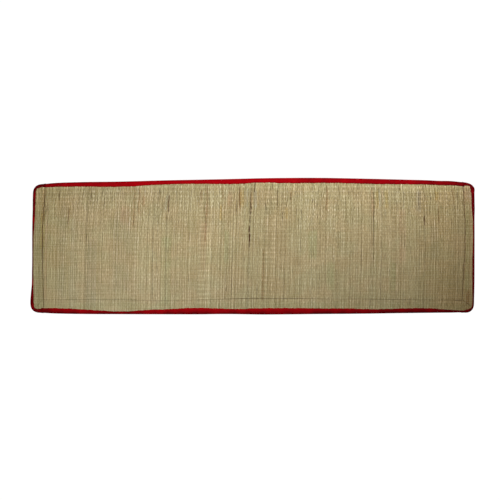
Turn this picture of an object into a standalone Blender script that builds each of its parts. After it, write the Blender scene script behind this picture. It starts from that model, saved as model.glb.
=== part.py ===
"""Foldable floor mat: a thin padded panel of woven reed, bound all round with red cotton tape.

Metres, +Z up. +X runs along the mat and +Y towards its back edge. The origin is under the
middle of the mat, on the surface that it lies on. The mat is first laid out as a flat
rectangle, where a point's inset is its distance from the nearest edge. Its corners are then
rounded, and its edges drawn in, by the tables below.
"""

import bmesh
import bpy
import numpy as np

MM = 0.001

# Driving dimensions
HALF_LENGTH = 994.7 * MM
HALF_WIDTH = 306.0 * MM
TAPE_THICKNESS = 1.0 * MM
TAPE_GAP = 0.5 * MM  # between the tape and the reed under it
RIM_RADIUS = 4.5 * MM  # of the tape folded round the edge
TAPE_UNDER = 18.0 * MM  # tape turned under the mat
SEAM_GAP = 0.4 * MM  # where two strips of tape meet
CORNER_SQUARE = 52.0 * MM  # an end strip runs round its corners as far as this
CALM_INSET = 60.0 * MM  # the margin inside this keeps its shape where an edge is drawn in
FULLY_ROUND = 0.7  # rings of a corner square past this share of it are rounded in full
STATION_SPACING = 56.0 * MM
CORNER_STATIONS = 9
RIM_STATIONS = 5

# Unevenness of the padding
WAVE_HEIGHT = 0.35 * MM
WAVE_ALONG = 310.0 * MM
WAVE_ACROSS = 190.0 * MM

# sRGB 162, 147, 110 and 150, 8, 14, as linear values
REED_COLOUR = (0.361, 0.292, 0.156, 1.0)
TAPE_COLOUR = (0.305, 0.0024, 0.0044, 1.0)


def table(columns, *rows):
    """Named columns of a short table in millimetres, as arrays in metres."""
    return dict(zip(columns, np.array(rows, float).T * MM))


# Height of the reed over the surface: it slopes down to the tape, with a sewn crease round it.
MARGIN = table(
    ("inset", "top", "under"),
    (2.8, 5.9, 3.1),
    (4.5, 7.5, 1.5),
    (20.0, 8.9, 1.5),
    (35.0, 9.7, 0.0),
    (43.0, 10.0, 0.0),
    (45.5, 8.9, 0.0),
    (48.0, 10.1, 0.0),
    (60.0, 11.3, 0.0),
    (100.0, 12.0, 0.0),
)

# How far the long edges lie inside the rectangle, along the mat
LONG_EDGES = table(
    ("along", "back", "front"),
    (-994.7, 27.5, 6.0),
    (-900.0, 23.4, 4.5),
    (-800.0, 19.7, 2.5),
    (-592.0, 16.5, 1.7),
    (-380.0, 10.7, 1.4),
    (-110.0, 5.5, 1.9),
    (53.0, 1.6, -0.4),
    (160.0, 0.4, 0.5),
    (321.0, 0.3, 2.2),
    (483.0, 3.4, 3.4),
    (697.0, 8.6, 6.3),
    (905.0, 14.4, 8.1),
    (935.0, 19.0, 8.4),
    (994.7, 21.5, 8.7),
)

# How far the two ends lie inside the rectangle, across the mat
SHORT_EDGES = table(
    ("across", "left", "right"),
    (-306.0, 0.5, 4.0),
    (-250.0, -0.3, 3.8),
    (-216.0, 2.1, 3.5),
    (-163.0, 6.9, 2.6),
    (0.0, 7.5, 2.0),
    (106.0, 8.0, 2.0),
    (213.0, 10.9, 2.2),
    (249.0, 11.8, 0.0),
    (306.0, 11.5, 0.7),
)

# Tape that shows on top of the long edges
LONG_FLAPS = table(
    ("along", "back", "front"),
    (-994.7, 17.0, 19.0),
    (-880.0, 19.0, 24.6),
    (-800.0, 20.2, 23.8),
    (-600.0, 24.0, 11.2),
    (-540.0, 23.8, 12.4),
    (-470.0, 20.5, 19.3),
    (-260.0, 19.0, 31.0),
    (-110.0, 23.0, 25.7),
    (-55.0, 23.6, 24.5),
    (0.0, 21.0, 28.0),
    (160.0, 24.5, 28.8),
    (430.0, 23.6, 25.6),
    (550.0, 23.3, 19.5),
    (720.0, 20.0, 21.0),
    (905.0, 21.4, 12.8),
    (994.7, 17.0, 15.5),
)

# Tape that shows on top of the two ends
SHORT_FLAPS = table(
    ("across", "left", "right"),
    (-306.0, 16.0, 16.0),
    (-270.0, 15.4, 9.0),
    (-216.0, 10.7, 7.2),
    (-163.0, 7.0, 7.0),
    (0.0, 6.6, 8.0),
    (79.0, 8.0, 7.7),
    (160.0, 11.0, 10.7),
    (213.0, 11.4, 12.4),
    (306.0, 13.0, 17.0),
)

# Creases where the mat folds up: where each crosses the back edge, the middle and the front
# edge, and how deep it is
FOLDS = table(
    ("back", "middle", "front", "depth"),
    (-451.0, -449.0, -448.0, 0.5),
    (9.0, -12.0, 19.0, 1.3),
    (541.0, 540.0, 528.0, 1.0),
)
FOLD_HALF_WIDTH = 9.0 * MM
FOLD_PULL = 120.0 * MM  # a fold bends the grid lines this far to each side of it
FOLD_FADES = (12.0 * MM, 40.0 * MM)  # insets between which a fold dies out

# How far each corner is rounded: 0 is square, and 1 is an arc as large as the corner square
CORNERS = {
    ("left", "back"): 0.84,
    ("left", "front"): 0.74,
    ("right", "back"): 0.86,
    ("right", "front"): 0.64,
}


def curve_through(at, places, values):
    """A smooth curve through a table's rows: a cubic between each two, with their mean slopes."""
    slopes = np.gradient(values, places)
    i = np.clip(np.searchsorted(places, at) - 1, 0, len(places) - 2)
    step = places[i + 1] - places[i]
    t = np.clip((at - places[i]) / step, 0, 1)
    rise = values[i + 1] - values[i]
    pull = (1 - t) * (slopes[i] * step - rise) - t * (slopes[i + 1] * step - rise)
    return values[i] + t * rise + t * (1 - t) * pull


def smooth_step(value, low, high):
    t = np.clip((value - low) / (high - low), 0, 1)
    return t * t * (3 - 2 * t)


def inset_of(along, across):
    return np.minimum(HALF_LENGTH - np.abs(along), HALF_WIDTH - np.abs(across))


def round_corners(along, across):
    """Each corner square is turned towards a quarter disc: a square ring becomes an arc of its
    own size, and the rounding fades out towards the square's inner corner."""
    a = (np.abs(along) - (HALF_LENGTH - CORNER_SQUARE)) / CORNER_SQUARE
    b = (np.abs(across) - (HALF_WIDTH - CORNER_SQUARE)) / CORNER_SQUARE
    inside = (a > 0) & (b > 0)
    ring = np.maximum(np.maximum(a, b), 1e-9)
    turn = np.pi / 4 * np.clip(np.minimum(a, b), 0, None) / ring
    near, far = ring * np.sin(turn), ring * np.cos(turn)
    arc_a, arc_b = np.where(a > b, far, near), np.where(a > b, near, far)
    end = np.where(along > 0, "right", "left")
    side = np.where(across > 0, "back", "front")
    roundness = sum(
        amount * ((end == corner[0]) & (side == corner[1])) for corner, amount in CORNERS.items()
    )
    share = np.where(inside, roundness * np.clip(ring / FULLY_ROUND, 0, 1), 0.0)
    moved_a = (arc_a - a) * share * CORNER_SQUARE
    moved_b = (arc_b - b) * share * CORNER_SQUARE
    return along + np.sign(along) * moved_a, across + np.sign(across) * moved_b


def draw_in(along, across):
    """The edges' own lines: each edge's shift is full in the margin and fades to the middle."""
    to_back = np.clip(across / (HALF_WIDTH - CALM_INSET), 0, 1)
    to_front = np.clip(-across / (HALF_WIDTH - CALM_INSET), 0, 1)
    to_right = np.clip(along / (HALF_LENGTH - CALM_INSET), 0, 1)
    to_left = np.clip(-along / (HALF_LENGTH - CALM_INSET), 0, 1)
    back = curve_through(along, LONG_EDGES["along"], LONG_EDGES["back"])
    front = curve_through(along, LONG_EDGES["along"], LONG_EDGES["front"])
    left = curve_through(across, SHORT_EDGES["across"], SHORT_EDGES["left"])
    right = curve_through(across, SHORT_EDGES["across"], SHORT_EDGES["right"])
    return along + left * to_left - right * to_right, across + front * to_front - back * to_back


def lay_out(along, across):
    """Where a point of the flat rectangle lies in the real outline."""
    return draw_in(*round_corners(along, across))


def fold_place(fold, across):
    """A fold's line: a parabola through its places at the back edge, the middle and the front."""
    t = across / HALF_WIDTH
    lean = (fold["back"] - fold["front"]) / 2
    bow = (fold["back"] + fold["front"]) / 2 - fold["middle"]
    return fold["middle"] + lean * t + bow * t * t


def fold_rows():
    return [dict(zip(FOLDS, row)) for row in zip(*FOLDS.values())]


def reed_top(along, across):
    """Height of the reed: the margin's profile, gently uneven, less a soft trough at each fold."""
    inset = inset_of(along, across)
    height = np.interp(inset, MARGIN["inset"], MARGIN["top"])
    wave = np.sin(along / WAVE_ALONG * 2 * np.pi + 1) * np.cos(across / WAVE_ACROSS * 2 * np.pi)
    height -= WAVE_HEIGHT * (1 + wave) / 2 * smooth_step(inset, CALM_INSET, 2 * CALM_INSET)
    for fold in fold_rows():
        away = np.abs(along - fold["middle"]) / FOLD_HALF_WIDTH
        height -= fold["depth"] * np.clip(1 - away, 0, 1) * smooth_step(inset, *FOLD_FADES)
    return height


def bend_to_folds(along, across):
    """The grid's straight lines near a fold lean with it, and come back straight further off."""
    bent = along.copy()
    for fold in fold_rows():
        near = np.clip(1 - np.abs(along - fold["middle"]) / FOLD_PULL, 0, 1)
        bent += near * (fold_place(fold, across) - fold["middle"])
    return bent


def stations(marks):
    """The marks, and evenly spaced stations between those that lie far apart."""
    places = []
    for start, end in zip(marks[:-1], marks[1:]):
        steps = max(1, round((end - start) / STATION_SPACING))
        places.extend(np.linspace(start, end, steps + 1)[:-1])
    return np.array(places + [marks[-1]])


def fold_marks():
    offsets = np.array((-1.0, -0.5, 0.0, 0.5, 1.0)) * FOLD_HALF_WIDTH
    return [middle + offset for middle in FOLDS["middle"] for offset in offsets]


def grid(rows, columns):
    """A flat grid in bmesh, and the row and column of each of its points."""
    bm = bmesh.new()
    bmesh.ops.create_grid(bm, x_segments=columns - 1, y_segments=rows - 1, size=1)
    flat = np.array([vert.co for vert in bm.verts])
    column = np.rint((flat[:, 0] + 1) / 2 * (columns - 1)).astype(int)
    row = np.rint((flat[:, 1] + 1) / 2 * (rows - 1)).astype(int)
    return bm, row, column


def move_points(verts, points):
    for vert, point in zip(verts, points):
        vert.co = point


def finish_object(name, bm, material, collection):
    bmesh.ops.recalc_face_normals(bm, faces=bm.faces)
    mesh = bpy.data.meshes.new(name)
    bm.to_mesh(mesh)
    bm.free()
    mesh.shade_smooth()
    mesh.set_sharp_from_angle(angle=np.radians(35))
    mesh.materials.append(material)
    obj = bpy.data.objects.new(name, mesh)
    collection.objects.link(obj)
    return obj


def reed_panel(material, collection):
    """The padded panel: a grid laid out to the outline and extruded down to its underside."""
    rings = MARGIN["inset"]
    along = stations([*(rings - HALF_LENGTH), *fold_marks(), *(HALF_LENGTH - rings[::-1])])
    across = stations([*(rings - HALF_WIDTH), *(HALF_WIDTH - rings[::-1])])
    bm, row, column = grid(len(across), len(along))
    flat_along, flat_across = along[column], across[row]
    x, y = lay_out(bend_to_folds(flat_along, flat_across), flat_across)
    top = reed_top(flat_along, flat_across)
    under = np.interp(inset_of(flat_along, flat_across), MARGIN["inset"], MARGIN["under"])
    lower = list(bm.verts)
    made = bmesh.ops.extrude_face_region(bm, geom=bm.faces[:])
    upper = [item for item in made["geom"] if isinstance(item, bmesh.types.BMVert)]
    place = {tuple(vert.co): i for i, vert in enumerate(lower)}
    order = [place[tuple(vert.co)] for vert in upper]
    move_points(upper, np.column_stack([x, y, top])[order])
    move_points(lower, np.column_stack([x, y, under]))
    return finish_object("reed_panel", bm, material, collection)


def tape_section(flap):
    """Insets and heights of the folded tape, from its edge under the mat, round the rim, to
    its edge on top, for one or many widths of the part that shows."""
    angle = np.linspace(0, np.pi, RIM_STATIONS)
    rim_inset = RIM_RADIUS * (1 - np.sin(angle))
    rim_height = RIM_RADIUS * (1 - np.cos(angle))
    flap = np.atleast_1d(flap)[:, None]
    on_top = RIM_RADIUS + (flap - RIM_RADIUS) * np.array((0.5, 1.0))
    top_height = np.interp(on_top, MARGIN["inset"], MARGIN["top"]) + TAPE_GAP + TAPE_THICKNESS
    count = len(flap)
    inset = np.hstack([np.full((count, 1), TAPE_UNDER), np.tile(rim_inset, (count, 1)), on_top])
    height = np.hstack([np.zeros((count, 1)), np.tile(rim_height, (count, 1)), top_height])
    return inset, height


def folded_tape(name, along, across, height, material, collection):
    """A strip of tape: an open grid, a row for each station along the edge, made solid inwards."""
    bm, row, column = grid(*height.shape)
    x, y = lay_out(along, across)
    points = np.column_stack([x[row, column], y[row, column], height[row, column]])
    move_points(bm.verts, points)
    strip = finish_object(name, bm, material, collection)
    top_faces = [face for face in strip.data.polygons if face.center.z > 2 * RIM_RADIUS]
    if top_faces[0].normal.z < 0:
        strip.data.flip_normals()
    wall = strip.modifiers.new("tape thickness", "SOLIDIFY")
    wall.thickness = TAPE_THICKNESS
    wall.offset = -1
    wall.use_even_offset = True
    return strip


def long_tape(side, material, collection):
    """The strip on one long edge, between the two end strips."""
    reach = HALF_LENGTH - CORNER_SQUARE - SEAM_GAP / 2
    station = stations([-reach, reach])
    flap = curve_through(station, LONG_FLAPS["along"], LONG_FLAPS[side])
    inset, height = tape_section(flap)
    sign = 1 if side == "back" else -1
    along = np.broadcast_to(station[:, None], inset.shape)
    return folded_tape(
        "binding_" + side, along, sign * (HALF_WIDTH - inset), height, material, collection
    )


def end_tape(end, material, collection):
    """The strip round one end: across the end, and round both corners to the long strips. In a
    corner its stations lie on rays from the corner square's inner corner."""
    sign = 1 if end == "right" else -1
    inner_along = HALF_LENGTH - CORNER_SQUARE
    inner_across = HALF_WIDTH - CORNER_SQUARE
    first = SEAM_GAP / 2 / CORNER_SQUARE
    turns = np.concatenate([[first], np.linspace(0, 2, CORNER_STATIONS)[1:]])
    straight = stations([-inner_across, inner_across])[1:-1]
    corner_along = np.clip(turns, 0, 1)
    corner_across = np.clip(2 - turns, 0, 1)
    corner_middle = np.full(len(turns), inner_across)
    ray_along = np.concatenate([corner_along, np.ones(len(straight)), corner_along[::-1]])
    ray_across = np.concatenate([-corner_across, np.zeros(len(straight)), corner_across[::-1]])
    middle = np.concatenate([-corner_middle, straight, corner_middle])
    flap = end_flap(end, turns, straight)
    inset, height = tape_section(flap)
    reach = CORNER_SQUARE - inset
    along = sign * (inner_along + ray_along[:, None] * reach)
    across = middle[:, None] + ray_across[:, None] * reach
    return folded_tape("binding_" + end, along, across, height, material, collection)


def end_flap(end, turns, straight):
    """Tape that shows at each station of an end strip, from the long edge's width to the end's."""
    inner_across = HALF_WIDTH - CORNER_SQUARE
    seam = (HALF_LENGTH - CORNER_SQUARE) * (1 if end == "right" else -1)
    share = smooth_step(turns, 0, 2)
    widths = []
    for side, across in (("front", -inner_across), ("back", inner_across)):
        long_width = curve_through(np.array(seam), LONG_FLAPS["along"], LONG_FLAPS[side])
        end_width = curve_through(np.array(across), SHORT_FLAPS["across"], SHORT_FLAPS[end])
        widths.append(long_width + (end_width - long_width) * share)
    middle = curve_through(straight, SHORT_FLAPS["across"], SHORT_FLAPS[end])
    return np.concatenate([widths[0], middle, widths[1][::-1]])


def plain_material(name, colour, roughness):
    material = bpy.data.materials.new(name)
    material.use_nodes = True
    shader = material.node_tree.nodes["Principled BSDF"]
    shader.inputs["Base Color"].default_value = colour
    shader.inputs["Roughness"].default_value = roughness
    shader.inputs["Metallic"].default_value = 0.0
    material.diffuse_color = colour
    return material


def main():
    for obj in list(bpy.data.objects):
        bpy.data.objects.remove(obj, do_unlink=True)
    mat = bpy.data.collections.new("foldable_floor_mat")
    bpy.context.scene.collection.children.link(mat)
    reed_panel(plain_material("woven reed", REED_COLOUR, 0.6), mat)
    for side in ("back", "front"):
        long_tape(side, plain_material("cotton tape, " + side, TAPE_COLOUR, 0.85), mat)
    for end in ("left", "right"):
        end_tape(end, plain_material("cotton tape, " + end, TAPE_COLOUR, 0.85), mat)


main()
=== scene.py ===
"""Looks of the foldable floor mat: its woven reed, its red cotton tape and its sewing.

The outline, the tape's widths and the folds follow the ones that the solids were made with, with
corrections of 1 to 3 mm, so each piece lies where its solid is. Metres, +X along the mat, +Y to
its back edge, +Z up, with the origin under the mat's middle.
"""

from types import SimpleNamespace

import bpy
import numpy as np
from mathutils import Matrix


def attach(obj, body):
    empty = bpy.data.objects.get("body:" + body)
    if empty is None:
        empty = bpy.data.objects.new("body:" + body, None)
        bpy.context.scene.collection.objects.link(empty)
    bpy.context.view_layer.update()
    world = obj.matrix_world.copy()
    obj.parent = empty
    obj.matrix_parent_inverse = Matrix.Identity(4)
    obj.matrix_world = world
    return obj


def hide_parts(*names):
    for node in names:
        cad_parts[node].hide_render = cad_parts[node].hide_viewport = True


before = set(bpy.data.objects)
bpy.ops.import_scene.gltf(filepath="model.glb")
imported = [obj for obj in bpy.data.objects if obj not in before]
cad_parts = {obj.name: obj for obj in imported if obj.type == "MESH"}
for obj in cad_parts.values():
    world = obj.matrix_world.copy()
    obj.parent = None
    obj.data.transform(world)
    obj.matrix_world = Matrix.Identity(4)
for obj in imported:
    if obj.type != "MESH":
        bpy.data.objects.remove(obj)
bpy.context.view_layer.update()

MM = 0.001
SIGNS = {"left": -1, "right": 1, "front": -1, "back": 1}

# The mat's body
HALF_LENGTH = 994.7 * MM
HALF_WIDTH = 306.0 * MM
RIM_RADIUS = 4.5 * MM
TAPE_UNDER = 18.0 * MM
CORNER_SQUARE = 52.0 * MM
CALM_INSET = 60.0 * MM  # the edges' own lines are full as far in as this, and waves begin there
FULLY_ROUND = 0.7  # of a corner's square: rings further out are arcs, and further in less so
WAVE_HEIGHT = 0.35 * MM
WAVE_ALONG = 310.0 * MM
WAVE_ACROSS = 190.0 * MM
FOLD_HALF_WIDTH = 9.0 * MM
FOLD_FADES = (12.0 * MM, 40.0 * MM)

# Reed: stalks laid across the mat, held by cotton warps that run along it
REED_WIDTH = 2.4 * MM
REED_SPREAD = 0.17  # of a reed's width
SHOULDERS = (0.0, 0.28, 0.72)  # the mesh's columns on a reed, 0 in the gap before it
WARP_PITCH = 10.35 * MM
WARP_PHASE = 0.42  # of a pitch
WARP_WANDER = 0.16  # of a pitch
PANEL_INSET = 3.2 * MM  # the panel ends this far inside the tape's fold
GAP_DEPTH = 0.55 * MM
OPEN_GAP_DEPTH = 0.6 * MM  # more in a gap that is fully open
UNDER_GAP_DEPTH = 0.45 * MM
CRACK_DEPTH = 0.9 * MM
CRACK_SOFTNESS = 0.35 * MM
CROWN = 0.12 * MM
BOB = 0.22 * MM  # a reed rises and dips this much where it goes over and under the warps
GAP_BOB = 0.3  # a gap has this share of it
REED_LIFT = 0.09  # in millimetres: how much higher or lower than the others a whole reed lies
LIFT_RIPPLES = 0.07 * MM  # how much that changes along it
UNEVEN_GAPS = 0.1 * MM  # how much deeper or less deep than the others a gap is
GAP_RIPPLES = 0.2 * MM  # how far a gap strays along the mat by itself
GAP_BUNCHES = 1.1 * MM  # how far a dozen gaps stray together
OPENING_CHANCES = (1.7, 3.3)  # the drawn chance at which a gap begins to open, and is fully open
SHED_RUN = 3.4  # this many reeds side by side go over the same warp
ROW_STEP = WARP_PITCH / 2
UNDER_ROWS = 15
# The outermost reeds of an end lean with its edge: where that starts along the mat, and the
# edge's own shift at which they stand straight
END_LEANS = {"left": (938.0 * MM, 7.5 * MM), "right": (943.0 * MM, 2.0 * MM)}
END_LEAN_RUN = 46.0 * MM

# The frame of sewing: its corners, how far its long creases reach, how deep it is pulled in, and
# how far its trough reaches to each side
FRAME_FRONT = -240.0 * MM
FRAME_BACK = 238.0 * MM
FRAME_REACH = 945.0 * MM
SEWN_DEPTHS = {"front": 0.8 * MM, "back": 0.5 * MM, "left": 0.7 * MM, "right": 0.7 * MM}
LONG_TROUGH = 2.3 * MM
END_TROUGH = 5 * MM
# How far the painted shade of a crease reaches to each side, and the width at which it is fully
# dark
SEWN_REACH = (1.6 * MM, 2.2 * MM)
CORNER_CREASE_REACH = (3.5 * MM, 4.0 * MM)

# Rows of the panel's mesh: the flat places of the sewn creases, the steps and the room round
# them, how far from the middle rows are straight, and the least room between crease and edge
FRONT_CREASE = -240.0 * MM
BACK_CREASE = 235.0 * MM
CREASE_ROW_STEP = 2.4 * MM
CREASE_CLEARANCE = 4.2 * MM
STRAIGHT_TO = 175.0 * MM
LEAST_MARGIN = 8.0 * MM

# Tape
CLOTH = 0.8 * MM  # the tape's thickness
LAP = 6.0 * MM  # an end's tape lies over the long tapes' ends by this much
FLAP_WAVES = (13, 31, 74)  # lengths in millimetres of the small waves in a tape's width
STATION_STEP = 3.0 * MM
SECTION_POINTS = 20
STITCH_LENGTH = 2.7 * MM
STITCH_PITCH = 3.7 * MM
STITCH_INSET = 2.5 * MM
THREAD_RADIUS = 0.26 * MM
# How dark each end's tape is all over: painted shade, as it lies turned away from the light
END_SHADE = {"left": 0.75, "right": 0.95}
# The long tapes' soil and painted shade: in the middle, added from one place along the mat to
# another towards the right, and the painted shade of the rim, which turns away from the light
LONG_SOIL_AND_SHADE = {
    "back": {"middle": 0.14, "right": 0.3, "right_from_to": (0.0, 0.35), "rim": {"patchy": 0.12}},
    "front": {
        "middle": 0.05,
        "right": 0.15,
        "right_from_to": (0.2, 0.6),
        "rim": {"rim_width": 17 * MM, "rim_amount": 0.85, "patchy": 0.17},
    },
}
# How dark the end tapes' laps are over the long ones
LAP_SHADOWS = {
    ("left", "front"): 0.1,
    ("left", "back"): 0.1,
    ("right", "front"): 0.15,
    ("right", "back"): 0.9,
}


def table(columns, *rows, counts=()):
    """Named columns of a short table in millimetres, as arrays in metres, but for its counts."""
    values = zip(columns, np.array(rows, float).T)
    return {name: column if name in counts else column * MM for name, column in values}


# The mat's section by inset: the heights of its top and its underside
MARGIN = table(
    ("inset", "top", "under"),
    (2.8, 5.9, 3.1),
    (4.5, 7.5, 1.5),
    (20, 8.9, 1.5),
    (35, 9.7, 0),
    (60, 11.3, 0),
    (100, 12, 0),
)

# How far the edges' real lines lie inside the flat rectangle
LONG_EDGES = table(
    ("along", "back", "front"),
    (-994.7, 28.5, 7.8),
    (-940, 26.6, 6.9),
    (-900, 23, 4.8),
    (-800, 19.3, 2.3),
    (-592, 16.2, 1),
    (-380, 10.5, 0.4),
    (-250, 8, 0.3),
    (-110, 5.1, 1.5),
    (53, 1.2, -0.5),
    (160, 0, 0.2),
    (321, -0.1, 1.8),
    (483, 3, 3.1),
    (697, 8.2, 6.1),
    (778, 10.4, 7),
    (832, 13, 7.6),
    (885, 14, 8),
    (940, 19.2, 8.6),
    (967, 21.4, 6.6),
    (994.7, 22, 6.4),
)

SHORT_EDGES = table(
    ("across", "left", "right"),
    (-306, -0.6, 2.4),
    (-250, -1.2, 2.8),
    (-216, 1.4, 2),
    (-181, 4.6, 1.4),
    (-118, 6, 0.9),
    (-55, 6.8, 0.8),
    (0, 6.8, 0.7),
    (70, 6.8, 0.6),
    (143, 7.8, 0.9),
    (190, 8.9, 0),
    (211, 9, 0.6),
    (236, 9.3, 0.9),
    (250, 9.6, 1.2),
    (266, 9.9, 0.6),
    (275, 10, -1.8),
    (306, 10.5, -1),
)

# The tape's width as it shows from above
LONG_FLAPS = table(
    ("along", "back", "front"),
    (-994.7, 15, 19),
    (-938, 16.4, 22.4),
    (-880, 19, 24.6),
    (-800, 20.2, 23.4),
    (-672, 23.5, 16.4),
    (-600, 24, 13),
    (-540, 23.8, 14.9),
    (-470, 20.5, 20.6),
    (-400, 19.4, 22.8),
    (-260, 19, 29.8),
    (-110, 23, 24.6),
    (-55, 23.6, 24.2),
    (0, 20.6, 27.6),
    (160, 24, 29),
    (345, 23, 25.2),
    (430, 22.6, 24.6),
    (550, 23.6, 19.9),
    (670, 21.4, 21.4),
    (778, 19.8, 21.4),
    (885, 19.4, 13.2),
    (935, 18.4, 9.4),
    (994.7, 17, 9.4),
)

# The left end's tape turns in so little that from above it all but vanishes
SHORT_FLAPS = table(
    ("across", "left", "right"),
    (-306, 16, 14),
    (-243, 15.2, 8.8),
    (-212, 12, 9.5),
    (-181, 9, 10.8),
    (-150, 7.6, 10.8),
    (-55, 6.2, 11),
    (-10, 6.3, 9.4),
    (7, 6.7, 9),
    (39, 7.1, 8.7),
    (70, 8.8, 8.6),
    (102, 11, 8.9),
    (133, 12.1, 9.2),
    (195, 12.7, 15.2),
    (227, 13.4, 14.6),
    (306, 14, 17),
)

# Where the folds lie along the mat, at its back edge, middle and front edge, and their depth
FOLDS = table(
    ("back", "middle", "front", "depth"),
    (-451, -449, -448, 0.5),
    (9, -12, 19, 1.3),
    (541, 540, 528, 1),
)

# How square each corner's line is, as a power: 2 is a circle's
CORNERS = {
    ("left", "back"): 2.9,
    ("left", "front"): 3.0,
    ("right", "back"): 2.6,
    ("right", "front"): 2.75,
}

# What is added to a tape's width round the corners: turn is 0 at the long edge, 1 on the diagonal
# and 2 at the end
CORNER_FLAPS = table(
    ("turn", "left_front", "left_back", "right_front", "right_back"),
    (0, 0, 0, 0, 0.5),
    (0.08, -0.5, -0.3, 0, -3),
    (0.3, -3.5, -2.4, 2.2, -4.2),
    (0.55, -4.6, -0.4, 5.6, -5.6),
    (0.75, -5, -0.6, 4.2, -7.4),
    (1, -6.4, -3.9, 2.2, -0.6),
    (1.25, -2.6, -1.8, -0.8, 1.4),
    (1.5, 0.2, -1.6, -0.8, 4.6),
    (1.75, 0.2, 0.8, 0, 1.2),
    (2, 0, 0, 0, 0),
    counts=("turn",),
)

# The reeds are not quite square to the edges: how far each lies from its place in the middle, in
# six lines along the mat, which have these places across it
LEAN_PLACES = {
    "front": -300.0 * MM,
    "middle": 0.0,
    "behind middle": 105.0 * MM,
    "before crease": 160.0 * MM,
    "at crease": 213.0 * MM,
    "back": 285.0 * MM,
}
LEANS = table(
    ("along", *LEAN_PLACES),
    (-984, 0, 0, 0, 0, 0, 0),
    (-940, -3, 0, 3, 5.5, 8, 11),
    (-860, -8.4, 0, 5.6, 9.2, 12.4, 17.5),
    (-640, -6, 0, 4.6, 8.4, 11.4, 16.5),
    (-410, -4.5, 0, 3.4, 6.2, 10, 14.5),
    (-190, -9, 0, 4.1, 5.1, 6.2, 7.6),
    (35, -8.4, 0, 2.5, 4.7, 6.3, 9.9),
    (260, -4, 0, 2, 3.1, 5.8, 9),
    (480, -7.2, 0, 2.2, 2.2, 2.2, 1.8),
    (706, -7.2, 0, -1.8, -3.7, -4.7, -8),
    (840, -9, 0, -2.4, -4.1, -5.6, -10),
    (948, -7, 0, 0, -1, -3.5, -7),
    (989.5, 0, 0, 0, 0, 0, 0),
)

# The panel is made in four lengths that meet in a gap between two reeds
SECTION_ENDS = [place * MM for place in (-984.0, -449.0, 4.0, 536.0, 989.5)]
SECTION_NAMES = ["reed_section_1", "reed_section_2", "reed_section_3", "reed_section_4"]

# A frame of sewing runs inside the edges: its two long lines, its two short ones, and how wide
# the painted shade of its crease shows at each
SEWN_LINES = table(
    ("along", "front", "back", "front_dark", "back_dark"),
    (-994.7, -238.8, 233, 0, 0),
    (-865, -238.8, 235, 0.7, 0.2),
    (-730, -238.8, 236, 0.9, 0),
    (-596, -238, 238, 0.8, 0.1),
    (-462, -243.3, 240, 0.6, 0.2),
    (-328, -243, 241, 0.5, 0),
    (-193, -238.8, 242, 0.6, 0.2),
    (-59, -234.3, 242, 2, 0.3),
    (75, -234.3, 242, 2, 0.1),
    (209, -234.3, 242, 1.6, 0.2),
    (344, -236.6, 242, 0.3, 0.2),
    (478, -237, 241, 0.5, 0.1),
    (612, -238.8, 239, 1.5, 0.2),
    (747, -241, 235, 0.5, 0.2),
    (881, -243.3, 231, 0.4, 0.1),
    (994.7, -243.3, 229, 0.3, 0),
)

SEWN_ENDS = table(
    ("across", "left", "right", "left_dark", "right_dark"),
    (-306, -934, 938, 0, 0),
    (-241, -935, 939, 1.6, 1),
    (-221, -936, 939, 1.8, 2),
    (-171, -937, 941, 1.7, 2.8),
    (-109, -940, 945, 3, 4.2),
    (-44, -941, 948, 3.4, 2.6),
    (39, -941, 949, 4, 2.6),
    (90, -940, 949, 3.8, 2.6),
    (142, -936, 948, 3.2, 2.2),
    (198, -932, 946, 2.8, 2.6),
    (225, -930, 944, 1.5, 2.6),
    (265, -929, 941, 1.2, 5),
    (306, -928, 940, 0, 5),
)

# Soft creases from the frame's front corners to the mat's own, and how wide their painted shade is
CORNER_CREASES = table(
    ("from_x", "from_y", "to_x", "to_y", "dark"),
    (-941, -241, -969, -272, 1.3),
    (943, -244, 976, -268, 2.6),
    (906, -243, 976, -242, 2.2),
)

# Dark cracks between reeds along the folds: their dark is painted shade with some dirt
FOLD_CRACKS = table(
    ("along", "back", "front", "dark"),
    (10, 283, 242, 3.4),
    (-9, 233, 189, 1.7),
    (-9, 200, 178, 3.4),
    (-9, 178, 163, 5.8),
    (-17, 171, 144, 1.6),
    (-9, 158, 142, 4.6),
    (-12, 132, 105, 3.4),
    (-14, 91, 62, 5.2),
    (-14, 57, 22, 6.8),
    (-14, 22, -5, 3.2),
    (18, -174, -246, 1.1),
    (541, 242, 184, 1.3),
    (541, 184, 108, 2.5),
    (541, 108, 1, 1.4),
    (541, 1, -71, 1),
    (524, -237, -277, 1.6),
    (-448, 63, -232, 0.9),
)

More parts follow.
